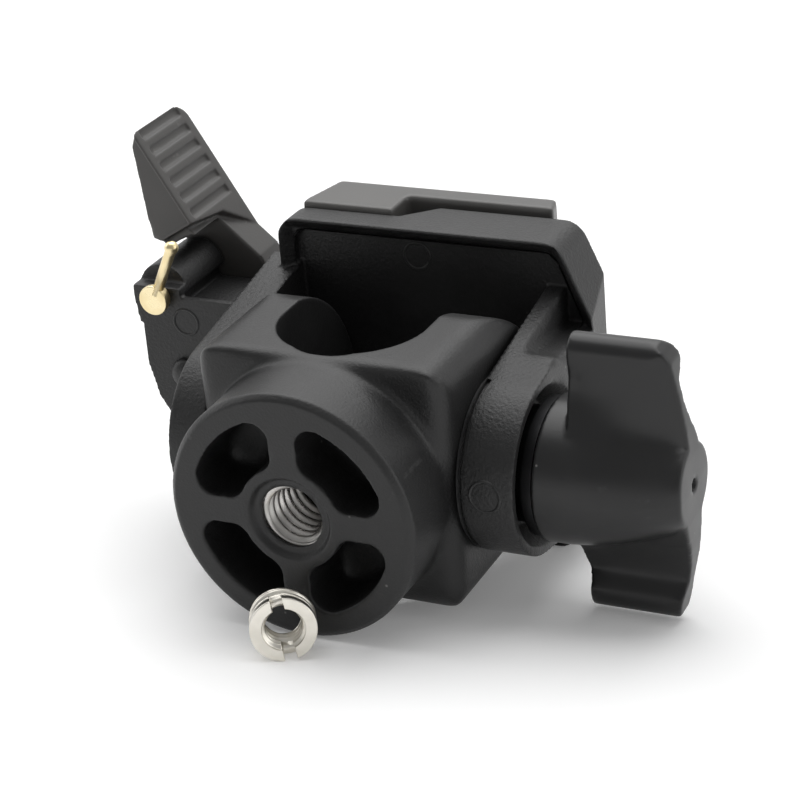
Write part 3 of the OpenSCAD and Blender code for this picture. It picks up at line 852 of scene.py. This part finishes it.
def drilled(piece: bpy.types.Object, matrix: Matrix, radius: float, depth: float) -> None:
    """Drills a round hole into a piece.

    Args:
        piece: the piece that is cut.
        matrix: place of the hole's mouth with Z along its axis, from millimetres.
        radius: the hole's radius.
        depth: how far it reaches to each side of its mouth.
    """
    tool = bmesh.new()
    bmesh.ops.create_cone(tool, cap_ends=True, segments=32, radius1=radius, radius2=radius, depth=2 * depth,
                          matrix=matrix)
    cut_away(piece, tool)


def grooved(piece: bpy.types.Object, section: Sequence[Point2], matrix: Matrix) -> None:
    """Turns a groove with crisp edges into a piece.

    Args:
        piece: the piece that is cut.
        section: corners of the groove's section, as radius and height.
        matrix: place of the groove's axis, from millimetres.
    """
    ring = lathe("groove_ring", plain_rows(list(section)), matrix, 160, closed=True)
    tool = bmesh.new()
    tool.from_mesh(ring.data)
    bpy.data.objects.remove(ring)
    cut_away(piece, tool)
    piece.data.set_sharp_from_angle(angle=math.radians(45))


# Sub-assemblies


@dataclass
class BaseCasting:
    """Mounting disc and block, with the steel thread in its middle."""

    disc_r: float = 19.0
    disc_h: float = 11.5
    notch_r: float = 11.3
    notch_z: float = 24.9
    pocket_r: Point2 = (7.0, 16.0)
    thread_r: float = 4.7625
    thread_pitch: float = 1.5875
    thread_depth: float = 0.85
    thread_play: float = 0.05
    thread_fade: float = 0.15
    insert_r: float = 6.55
    insert_z: Point2 = (1.55, 12.0)
    sink_r: float = 6.1
    sink_depth: float = 0.85
    sink_edge: float = 0.4
    notch_fade: Point2 = (1.0, 3.0)
    block_fade: Point2 = (-0.5, 1.0)
    root_height: Point2 = (3.2, 1.4)
    root_inner: Point2 = (-1.5, -0.5)
    root_outer: Point2 = (5.0, 3.0)
    bowl_z: Point2 = (1.5, 5.5)
    bowl_end: float = 1.0
    pocket_fade: float = 0.5
    voxel: float = 0.26

    def block_edges(self, p: Vector) -> float:
        """Weight of the large rounding on the block's outer edges, away from the notch's crisp ones.

        Args:
            p: standing point of the casting.

        Returns:
            The weight.
        """
        gap = abs(p.x) if p.z > self.notch_z else math.hypot(p.x, p.z - self.notch_z)
        away = smoothstep(*self.notch_fade, abs(gap - self.notch_r))
        return away * smoothstep(*self.block_fade, p.z - self.disc_h)

    def disc_root(self, p: Vector) -> float:
        """Weight of the hollow blend where the disc's rim runs into the block.

        Args:
            p: standing point of the casting.

        Returns:
            The weight.
        """
        r = math.hypot(p.x, p.y) - self.disc_r
        near = smoothstep(*self.root_height, abs(p.z - self.disc_h))
        return near * smoothstep(*self.root_inner, r) * smoothstep(*self.root_outer, r)

    def pocket_floors(self, p: Vector) -> float:
        """Weight of the bowl shape at the bottom of the four pockets.

        Args:
            p: standing point of the casting.

        Returns:
            The weight.
        """
        r = math.hypot(p.x, p.y)
        low, high = self.pocket_r
        return (smoothstep(*self.bowl_z, p.z) * smoothstep(self.disc_h + self.bowl_end, self.disc_h, p.z)
                * smoothstep(low, low + self.pocket_fade, r) * smoothstep(high, high - self.pocket_fade, r))

    def counterbore(self, p: Vector) -> Vector:
        """Sinks a shallow ring round the thread's mouth.

        Args:
            p: standing point of the casting.

        Returns:
            The moved point.
        """
        r = math.hypot(p.x, p.y)
        if r > self.sink_r + self.sink_edge or p.z > 2 * self.sink_depth:
            return p
        floor = self.sink_depth * smoothstep(self.sink_r + self.sink_edge, self.sink_r - self.sink_edge, r)
        return Vector((p.x, p.y, max(p.z, floor)))

    def build(self) -> None:
        """Makes the casting and its thread insert."""
        softenings = [Softening(4), Softening(60, self.block_edges), Softening(110, self.disc_root),
                      Softening(360, self.pocket_floors)]
        casting = cast_copy("base_casting", "base_casting_dressed", self.voxel, softenings, 0.4,
                            self.counterbore)
        settle(casting, Body.BASE, FINISHES.casting, "base_casting")
        thread = Thread(self.thread_r + self.thread_play, self.thread_pitch, self.thread_depth,
                        roundness=0.9, slimness=0.6)
        z0, z1 = self.insert_z
        outside = [(self.insert_r, z1), (self.insert_r, z0)]
        rows = thread.rows(z0, z1, self.thread_fade, inside=True) + plain_rows(outside)
        insert = lathe("thread_insert_cut", rows, STANCE.upright(0, 0, 0), 72, closed=True)
        settle(insert, Body.BASE, FINISHES.steel, "thread_insert")


@dataclass
class ForkPlatform:
    """Fork with the platform and the lever housing, its bolt, washers and screw."""

    voxel: float = 0.24
    marks: tuple[EjectorMark, ...] = (
        EjectorMark("hub_mark", (24.4, -0.8, -40.0), (24.4, -0.8, 60.0), 2.3),
        EjectorMark("web_mark", (-0.74, -20.0, 0.0), (-0.74, -20.0, 60.0), 2.1),
        EjectorMark("housing_mark", (-35.4, -10.4, 0.0), (-35.4, -10.4, 60.0), 2.1),
    )
    groove_r: Point2 = (12.7, 13.25)
    groove_x: Point2 = (20.66, 21.4)
    rib_x: float = 23.4
    scoop_z: Point2 = (29.0, 44.5)
    scoop_x: Point2 = (-1.2, 0.3)
    scoop_y: Point2 = (9.0, 11.0)
    scoop_fade: float = 1.0
    side_x: Point2 = (-31.0, -35.0)
    side_y: Point2 = (-9.5, -7.0)
    side_z: Point2 = (36.9, 37.5)
    rim_z: float = 45.4
    rim_rise: float = 1.7
    rim_w: float = 2.2
    rim_edge: float = 0.2
    rim_under: float = 0.3
    rim_fade: Point2 = (1.4, 0.5)
    tray_half_d: float = 25.4
    tray_x: Point2 = (-23.0, 28.3)
    tray_chamfer: Point2 = (23.3, 13.9)
    screw_place: Point3 = (-36.2, -1.6, 36.0)
    screw_head_r: float = 2.6
    screw_head_t: float = 1.8
    screw_rim_share: float = 0.2
    screw_seat: float = 0.05
    screw_steps: int = 12

    def scoops(self, p: Vector) -> float:
        """Weight of the soft hollows in the knob side arm.

        Args:
            p: standing point of the casting.

        Returns:
            The weight.
        """
        low, high = self.scoop_z
        fade = self.scoop_fade
        return (smoothstep(*self.scoop_x, p.x - self.rib_x) * smoothstep(low - fade, low + fade, p.z)
                * smoothstep(high + fade, high - fade, p.z) * smoothstep(*self.scoop_y, abs(p.y)))

    def housing_side(self, p: Vector) -> float:
        """Weight of the round outer side of the lever housing, below the safety catch."""
        return smoothstep(*self.side_x, p.x) * smoothstep(*self.side_y, p.y) * smoothstep(*self.side_z, p.z)

    def inside_rim(self, x: float, y: float) -> float:
        """Distance of a place from the platform's outline, inwards.

        Args:
            x: place along the tilt axis.
            y: place across it, not negative.

        Returns:
            The distance.
        """
        x0, x1 = self.tray_x
        edge = Vector((x1 - self.tray_chamfer[0], self.tray_half_d - self.tray_chamfer[1]))
        slant = ((x1 - x) * edge.y + (self.tray_chamfer[1] - y) * edge.x) / edge.length
        return min(self.tray_half_d - y, x - x0, slant)

    def cast_details(self, p: Vector) -> Vector:
        """Bevels the inside of the platform's lower rim.

        Args:
            p: standing point of the casting.

        Returns:
            The moved point.
        """
        over = p.z - self.rim_z
        if -self.rim_under < over < self.rim_fade[0]:
            inside = self.inside_rim(p.x, abs(p.y))
            if inside < self.rim_w + 2 * self.rim_edge:
                bevel = smoothstep(*self.rim_fade, over) * smoothstep(self.rim_edge, self.rim_w, inside)
                return Vector((p.x, p.y, p.z + self.rim_rise * bevel))
        return p

    def build(self) -> None:
        """Makes the casting, its ejector marks and its fasteners."""
        softenings = [Softening(4), Softening(120, self.scoops), Softening(90, self.housing_side)]
        casting = cast_copy("fork_platform", "fork_platform_dressed", self.voxel, softenings, 0.4,
                            self.cast_details)
        (r0, r1), (x0, x1) = self.groove_r, self.groove_x
        grooved(casting, [(r0, x0), (r1, x0), (r1, x1), (r0, x1)], STANCE.along_tilt(0))
        settle(casting, Body.PLATFORM, FINISHES.fork, "fork_platform")
        for mark in self.marks:
            settle(mark.build(casting), Body.PLATFORM, FINISHES.fork)
        self.housing_screw()
        # The thrust washer's black is painted shade for the dark gap in the hub's recess; the bolt's black
        # oxide is its own finish.
        finish_nodes(FINISHES.dark_steel_with_painted_shade, "tilt_bolt", "thrust_washer")
        finish_nodes(FINISHES.nylon, "friction_washer_left", "friction_washer_right")

    def housing_screw(self) -> None:
        """Makes the smooth round head of the screw under the lever housing."""
        r, t, seat = self.screw_head_r, self.screw_head_t, self.screw_seat
        rim = self.screw_rim_share * t
        angles = [math.pi / 2 * i / self.screw_steps for i in range(self.screw_steps + 1)]
        dome = [(r * math.sin(a), -rim - (t - rim) * math.cos(a)) for a in angles]
        head = lathe("housing_screw_head", plain_rows(dome + [(r, seat), (0, seat)]),
                     STANCE.upright(*self.screw_place), 48)
        settle(head, Body.PLATFORM, FINISHES.casting, "housing_screw")


@dataclass
class TiltKnob:
    """Moulded knob with two wings."""

    voxel: float = 0.26
    wing_turn: float = 3.0
    blend_x: Point2 = (35.0, 37.5)
    end_x: float = 50.6
    end_round: float = 0.0055
    end_keep: Point2 = (0.5, 1.6)
    end_hole_r: float = 0.95
    end_hole_depth: float = 3.0
    swept_side: Point2 = (0.8, 1.6)
    swept_tip: Point2 = (20.0, 18.8)
    swept_root: Point2 = (-1.0, 2.5)
    hollow_side: Point2 = (0.0, -0.6)
    hollow_tip: Point2 = (19.5, 18.5)
    hollow_root: Point2 = (10.5, 12.0)

    def own(self, p: Vector) -> tuple[float, float]:
        """Place in a wing's own section.

        Args:
            p: standing point of the knob.

        Returns:
            How far it is out from the tilt axis, and how far towards the wing's swept side.
        """
        turn = math.radians(self.wing_turn)
        back = p.z - STANCE.tilt_z
        out = p.y * math.cos(turn) + back * math.sin(turn)
        side = back * math.cos(turn) - p.y * math.sin(turn)
        return (out, side) if out > 0 else (-out, -side)

    def between_ends(self, p: Vector) -> float:
        """Weight that leaves the knob's end and the wings' inner edges crisp."""
        end = self.end_x - self.end_round * p.y * p.y
        return smoothstep(*self.blend_x, p.x) * smoothstep(*self.end_keep, end - p.x)

    def swept(self, p: Vector) -> float:
        """Weight of the wide blend on each wing's swept side, from its bead into the barrel.

        Args:
            p: standing point of the knob.

        Returns:
            The weight.
        """
        out, side = self.own(p)
        return (smoothstep(*self.swept_side, side) * smoothstep(*self.swept_tip, out)
                * smoothstep(*self.swept_root, out) * self.between_ends(p))

    def hollow(self, p: Vector) -> float:
        """Weight of the blend on each wing's hollow side.

        Args:
            p: standing point of the knob.

        Returns:
            The weight.
        """
        out, side = self.own(p)
        return (smoothstep(*self.hollow_side, side) * smoothstep(*self.hollow_tip, out)
                * smoothstep(*self.hollow_root, out) * self.between_ends(p))

    def build(self) -> None:
        """Makes the knob and the small hole in its end."""
        softenings = [Softening(10), Softening(900, self.swept), Softening(200, self.hollow)]
        knob = cast_copy("tilt_knob", "tilt_knob_dressed", self.voxel, softenings, 0.4,
                         grid=Matrix.Rotation(math.radians(-self.wing_turn), 4, "X"))
        drilled(knob, STANCE.along_tilt(self.end_x), self.end_hole_r, self.end_hole_depth)
        settle(knob, Body.KNOB, FINISHES.knob, "tilt_knob")
        finish_nodes(FINISHES.brass, "knob_insert")


@dataclass
class ReleaseLever:
    """Cam lever with its pivot pin, washer, clip and return spring."""

    voxel: float = 0.2
    thumb_tip: Point2 = (-44.45, -38.6)
    thumb_heel: Point2 = (-35.95, -24.4)
    thumb_back: Point2 = (-43.75, -20.8)
    thumb_z0: float = 42.0
    corner_reach: Point2 = (3.5, 1.5)
    corner_rise: Point2 = (5.0, 3.0)
    strip: Point2 = (0.4, 0.8)
    strip_sink: float = 0.5
    strip_end: Point2 = (0.2, -0.6)
    strip_rise: Point2 = (1.5, 0.4)
    pivot: Point2 = (-30.5, -4.0)
    pin_r: float = 2.5
    pin_z: Point2 = (36.0, 58.4)
    pin_head_r: float = 3.3
    pin_head_t: float = 2.0
    pin_edge_r: float = 0.5

    def thumb_corner(self, p: Vector) -> float:
        """Weight of the round lower corner at the back of the thumb pad."""
        away = math.hypot(p.x - self.thumb_back[0], p.y - self.thumb_back[1])
        return smoothstep(*self.corner_reach, away) * smoothstep(*self.corner_rise, p.z - self.thumb_z0)

    def pad_strip(self, p: Vector) -> Vector:
        """Sets the thumb's lower flank back behind a strip along the grooved pad.

        Args:
            p: standing point of the lever.

        Returns:
            The moved point.
        """
        tip, heel = Vector(self.thumb_tip), Vector(self.thumb_heel)
        face = (heel - tip).normalized()
        way = p.xy - tip
        along, depth = way.dot(face), way.dot(Vector((-face.y, face.x)))
        past_heel = along - (heel - tip).length
        sink = (self.strip_sink * smoothstep(*self.strip, depth) * smoothstep(*self.strip_end, past_heel)
                * smoothstep(*self.strip_rise, p.z - self.thumb_z0))
        return Vector((p.x, p.y, p.z + sink))

    def build(self) -> None:
        """Makes the lever and its small parts."""
        face = Vector(self.thumb_heel) - Vector(self.thumb_tip)
        lever = cast_copy("release_lever", "release_lever_dressed", self.voxel,
                          [Softening(9), Softening(60, self.thumb_corner)], 0.5, self.pad_strip,
                          Matrix.Rotation(-math.atan2(face.y, face.x), 4, "Z"))
        settle(lever, Body.LEVER, FINISHES.lever, "release_lever")
        z0, z1 = self.pin_z
        head_z = z0 - self.pin_head_t
        profile = fillet([(0, head_z), (self.pin_head_r, head_z), (self.pin_head_r, z0), (self.pin_r, z0),
                          (self.pin_r, z1), (0, z1)], self.pin_edge_r)
        pin = lathe("lever_pivot_pin_turned", plain_rows(profile), STANCE.upright(*self.pivot, 0), 56)
        settle(pin, Body.PLATFORM, FINISHES.steel, "lever_pivot_pin")
        finish_nodes(FINISHES.steel, "lever_clip", "lever_spring")
        finish_nodes(FINISHES.nylon, "lever_washer")


@dataclass
class SafetyCatch:
    """Brass safety catch: a headed pin with a thumb rod."""

    place: Point2 = (-39.7, -14.35)
    head_z: Point2 = (34.0, 35.95)
    head_r: float = 2.4
    head_step: float = 0.25
    pin_r: float = 1.25
    pin_top: float = 50.2
    rod_z: float = 34.75
    rod_r: float = 0.85
    rod_l: float = 9.9
    rod_start: float = 1.0
    ball_r: float = 1.1
    ball_start: float = 50.0
    ball_steps: int = 12
    lean: float = 25.0
    step_share: float = 0.55
    edge_r: float = 0.2

    def build(self) -> None:
        """Makes the pin, its rod and its clip."""
        z0, z1 = self.head_z
        step = z0 + self.step_share * (z1 - z0)
        narrow = self.head_r - self.head_step
        profile = fillet([(0, z0), (self.head_r, z0), (self.head_r, step), (narrow, step), (narrow, z1),
                          (self.pin_r, z1), (self.pin_r, self.pin_top), (0, self.pin_top)], self.edge_r)
        pin = lathe("safety_catch_pin_turned", plain_rows(profile), STANCE.upright(*self.place, 0), 64)
        settle(pin, Body.CATCH, FINISHES.brass, "safety_catch_pin")
        matrix = (STANCE.upright(*self.place, self.rod_z)
                  @ Matrix.Rotation(math.radians(self.lean - 90), 4, "Z")
                  @ Matrix.Rotation(math.pi / 2, 4, "Y"))
        neck = [(0, self.rod_start), (self.rod_r, self.rod_start), (self.rod_r, self.rod_l - self.ball_r)]
        sweep = 180 - self.ball_start
        angles = [math.radians(self.ball_start + sweep * i / self.ball_steps)
                  for i in range(self.ball_steps)]
        ball = [(self.ball_r * math.sin(a), self.rod_l - self.ball_r * math.cos(a)) for a in angles]
        profile = neck + ball + [(0, self.rod_l + self.ball_r)]
        rod = lathe("safety_catch_rod_turned", plain_rows(profile), matrix, 32)
        settle(rod, Body.CATCH, FINISHES.brass, "safety_catch_rod")
        finish_nodes(FINISHES.steel, "catch_clip")


@dataclass
class CameraPlate:
    """Quick release plate with ribbed pads and its camera screw."""

    voxel: float = 0.3
    plate_x: float = -0.75
    pad_z: Point2 = (60.1, 61.0)
    pad_size: Point2 = (11.0, 46.0)
    pad_offset: float = 10.4
    rib_count: int = 9
    rib_depth: float = 0.25
    rib_flank: float = 0.2
    thread_r: float = 3.175
    thread_pitch: float = 1.27
    thread_depth: float = 0.7
    thread_fade: float = 0.6
    tip_bevel: float = 0.75
    edge_r: float = 0.3
    slot_w: float = 1.6
    shank_r: float = 2.6
    stud_z: Point2 = (61.2, 65.4)
    head_z: Point2 = (53.15, 55.55)
    head_r: float = 7.0

    def build(self) -> None:
        """Makes the plate, its pads and its screw."""
        plate = cast_copy("camera_plate", "camera_plate_dressed", self.voxel, [Softening(24)], 0.4)
        settle(plate, Body.PLATFORM, FINISHES.plate, "camera_plate")
        self.pads()
        self.screw()
        finish_nodes(FINISHES.steel, "screw_ring", "screw_clip")

    def pads(self) -> None:
        """Makes the two ribbed rubber pads as one piece."""
        w, l = self.pad_size
        z0, z1 = self.pad_z
        low = z1 - self.rib_depth
        pitch = w / self.rib_count
        flank = self.rib_flank * pitch
        section = [(0.0, z0)]
        for i in range(self.rib_count):
            x = i * pitch
            section += [(x, low), (x + flank, z1), (x + pitch - flank, z1), (x + pitch, low)]
        section.append((w, z0))
        shape = bmesh.new()
        for side in (-1, 1):
            x0 = self.plate_x + side * self.pad_offset - w / 2
            outline = list(dict.fromkeys(section))
            ends = [[shape.verts.new((x0 + x, y, z)) for x, z in outline] for y in (-l / 2, l / 2)]
            for ring in ends:
                shape.faces.new(ring)
            for i in range(len(ends[0])):
                j = (i + 1) % len(ends[0])
                shape.faces.new((ends[0][i], ends[0][j], ends[1][j], ends[1][i]))
        bmesh.ops.recalc_face_normals(shape, faces=shape.faces)
        shape.transform(STANCE.matrix)
        pads = piece_from("plate_pads_ribbed", shape)
        faces = pads.data.polygons
        faces.foreach_set("use_smooth", [False] * len(faces))
        settle(pads, Body.PLATFORM, FINISHES.rubber, "plate_pads")

    def screw(self) -> None:
        """Makes the camera screw with its thread and slotted head."""
        z0, z1 = self.head_z
        s0, s1 = self.stud_z
        thread = Thread(self.thread_r, self.thread_pitch, self.thread_depth, roundness=0.4)
        under = fillet([(0, z0), (self.head_r, z0), (self.head_r, z1), (self.shank_r, z1),
                        (self.shank_r, s0)], self.edge_r)
        top = [(self.thread_r - self.tip_bevel, s1), (0, s1)]
        rows = plain_rows(under) + thread.rows(s0, s1 - self.edge_r, self.thread_fade) + plain_rows(top)
        screw = lathe("camera_screw_cut", rows, STANCE.upright(self.plate_x, 0, 0), 56)
        slot = (2.2 * self.head_r, self.slot_w, self.slot_w)
        slotted(screw, STANCE.upright(self.plate_x, 0, z0), slot)
        settle(screw, Body.SCREW, FINISHES.steel, "camera_screw")


@dataclass
class ThreadReducer:
    """Loose slotted bushing with a thread outside and one inside."""

    outer_r: float = 4.7625
    outer_pitch: float = 1.5875
    inner_r: float = 3.175
    inner_pitch: float = 1.27
    length: float = 5.5
    face: Point2 = (1.85, -6.1)
    turn: float = 30.0
    slot_w: float = 1.8
    slot_depth: float = 2.5
    slot_lean: float = 12.0
    outer_depth: float = 0.75
    inner_depth: float = 0.7
    crest_round: float = 0.6
    play: float = 0.05
    collar: float = 1.1
    lip: Point2 = (0.1, 0.35)
    edge_r: float = 0.2
    outer_lead: float = 0.3
    outer_fade: float = 0.5
    inner_mouth: float = 0.4
    inner_lead: float = 0.2
    inner_fade: float = 0.4
    back_bevel: Point2 = (0.8, 0.3)

    def build(self) -> None:
        """Makes the bushing where its CAD solid lies."""
        low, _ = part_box("thread_reducer")
        spot = Vector((self.face[0] * MM, self.face[1] * MM, low.z + self.outer_r * MM))
        matrix = (Matrix.Translation(spot) @ Matrix.Rotation(math.radians(self.turn), 4, "Z")
                  @ Matrix.Rotation(math.pi / 2, 4, "X") @ Matrix.Scale(MM, 4))
        outside = Thread(self.outer_r, self.outer_pitch, self.outer_depth, self.crest_round)
        inside = Thread(self.inner_r + self.play, self.inner_pitch, self.inner_depth, self.crest_round)
        back = -self.length
        lip_r = self.inner_r - self.lip[0]
        front_edge = fillet([(self.outer_r, -self.collar), (self.outer_r, 0), (lip_r, 0),
                             (lip_r, -self.lip[1])], self.edge_r)
        outer_rows = outside.rows(back + self.outer_lead, -self.collar, self.outer_fade)
        inner_rows = inside.rows(-self.inner_mouth, back + self.inner_lead, self.inner_fade, inside=True)
        outer_bevel, inner_bevel = self.back_bevel
        rows = (plain_rows([(self.outer_r - outer_bevel, back)]) + outer_rows + plain_rows(front_edge)
                + inner_rows + plain_rows([(self.inner_r + inner_bevel, back)]))
        bushing = lathe("thread_reducer_cut", rows, matrix, 80, closed=True)
        slot = matrix @ Matrix.Rotation(math.radians(self.slot_lean), 4, "Z")
        slotted(bushing, slot, (self.slot_w, 4 * self.outer_r, 2 * self.slot_depth))
        settle(bushing, Body.REDUCER, FINISHES.nickel, "thread_reducer")


# Studio


@dataclass(frozen=True)
class SoftBox:
    """Square soft lamp that points at the head."""

    name: str
    place: Point3
    size: float
    watts: float

    def build(self, aim: Vector) -> None:
        """Hangs the lamp and turns it to a point.

        Args:
            aim: the point, in metres.
        """
        lamp = bpy.data.lights.new(self.name, "AREA")
        lamp.size = self.size
        lamp.energy = self.watts
        holder = bpy.data.objects.new(self.name, lamp)
        holder.location = self.place
        holder.rotation_euler = (aim - Vector(self.place)).to_track_quat("-Z", "Y").to_euler()
        bpy.context.scene.collection.objects.link(holder)


@dataclass
class Studio:
    """White sweep, soft lamps and the camera at the photograph's angle."""

    eye_mm: Point3 = (154.66, -285.03, 123.04)
    turn_deg: Point3 = (71.900, 1.083, 25.344)
    lens_mm: float = 111.96
    floor_size: float = 6.0
    floor_tone: float = 0.94
    floor_glow: float = 0.125
    sky: float = 0.34
    backdrop_y: Point2 = (-0.35, 0.25)
    lamps: tuple[SoftBox, ...] = (
        SoftBox("overhead_softbox", place=(-0.1, 0.22, 0.8), size=1.0, watts=7.4),
        SoftBox("right_card", place=(0.7, 0.05, 0.25), size=0.5, watts=0.9),
        SoftBox("left_card", place=(-0.7, -0.05, 0.35), size=0.5, watts=1.1),
    )

    def build(self) -> None:
        """Makes the floor, the light and the camera."""
        self.camera()
        self.floor()
        self.world()
        low, high = CAD_BOX
        aim = (Vector(low) + Vector(high)) / 2
        for lamp in self.lamps:
            lamp.build(aim)
        bpy.context.scene.view_settings.view_transform = "Standard"

    def camera(self) -> None:
        """Places the camera."""
        lens = bpy.data.cameras.new("photo_camera")
        lens.lens = self.lens_mm
        lens.sensor_width = 36.0
        holder = bpy.data.objects.new("photo_camera", lens)
        holder.location = Vector(self.eye_mm) * MM
        holder.rotation_euler = [math.radians(a) for a in self.turn_deg]
        bpy.context.scene.collection.objects.link(holder)
        bpy.context.scene.camera = holder

    def floor(self) -> None:
        """Lays a white floor that shows the object's shadow."""
        low, _ = CAD_BOX
        half = self.floor_size / 2
        mesh = bpy.data.meshes.new("floor")
        corners = [(x, y, low[2]) for x, y in ((-half, -half), (half, -half), (half, half), (-half, half))]
        mesh.from_pydata(corners, [], [(0, 1, 2, 3)])
        floor = bpy.data.objects.new("floor", mesh)
        bpy.context.scene.collection.objects.link(floor)
        material = bpy.data.materials.new("white_sweep")
        material.use_nodes = True
        material.node_tree.nodes.clear()
        n = Nodes(material.node_tree)
        paper = n.add("ShaderNodeBsdfDiffuse", Color=(self.floor_tone, self.floor_tone, self.floor_tone, 1))
        strength = n.math("MULTIPLY", self.seen(n), self.floor_glow)
        glow = n.add("ShaderNodeEmission", Color=(1, 1, 1, 1), Strength=strength)
        both = n.add("ShaderNodeAddShader")
        n.feed(both.inputs[0], paper.outputs[0])
        n.feed(both.inputs[1], glow.outputs[0])
        out = n.add("ShaderNodeOutputMaterial")
        n.feed(out.inputs["Surface"], both.outputs[0])
        mesh.materials.append(material)

    @staticmethod
    def seen(n: Nodes, mirrored: object = 1.0) -> bpy.types.NodeSocket:
        """Mask of the rays that show the background.

        Args:
            n: node helper of the material or world.
            mirrored: share of glossy and transmission rays that show it too.

        Returns:
            The mask.
        """
        path = n.add("ShaderNodeLightPath")
        bounced = n.math("MAXIMUM", path.outputs["Is Glossy Ray"], path.outputs["Is Transmission Ray"])
        return n.math("MAXIMUM", path.outputs["Is Camera Ray"], n.math("MULTIPLY", bounced, mirrored))

    def world(self) -> None:
        """Sets a dim even room with a white backdrop behind the head."""
        world = bpy.data.worlds.new("studio_sky")
        bpy.context.scene.world = world
        world.use_nodes = True
        n = Nodes(world.node_tree)
        way = n.add("ShaderNodeSeparateXYZ", Vector=n.add("ShaderNodeTexCoord").outputs["Generated"])
        backdrop = n.band(way.outputs["Y"], *self.backdrop_y)
        strength = n.math("MULTIPLY_ADD", self.seen(n, backdrop), 1.0 - self.sky)
        strength.node.inputs[2].default_value = self.sky
        background = world.node_tree.nodes["Background"]
        background.inputs["Color"].default_value = (1, 1, 1, 1)
        n.feed(background.inputs["Strength"], strength)


def main() -> None:
    """Builds the studio and every sub-assembly in order."""
    logging.basicConfig(level=logging.INFO, format="%(name)s: %(message)s")
    Studio().build()
    assemblies = (BaseCasting(), ForkPlatform(), TiltKnob(), ReleaseLever(), SafetyCatch(), CameraPlate(),
                  ThreadReducer())
    for assembly in assemblies:
        assembly.build()


if __name__ == "__main__":
    main()
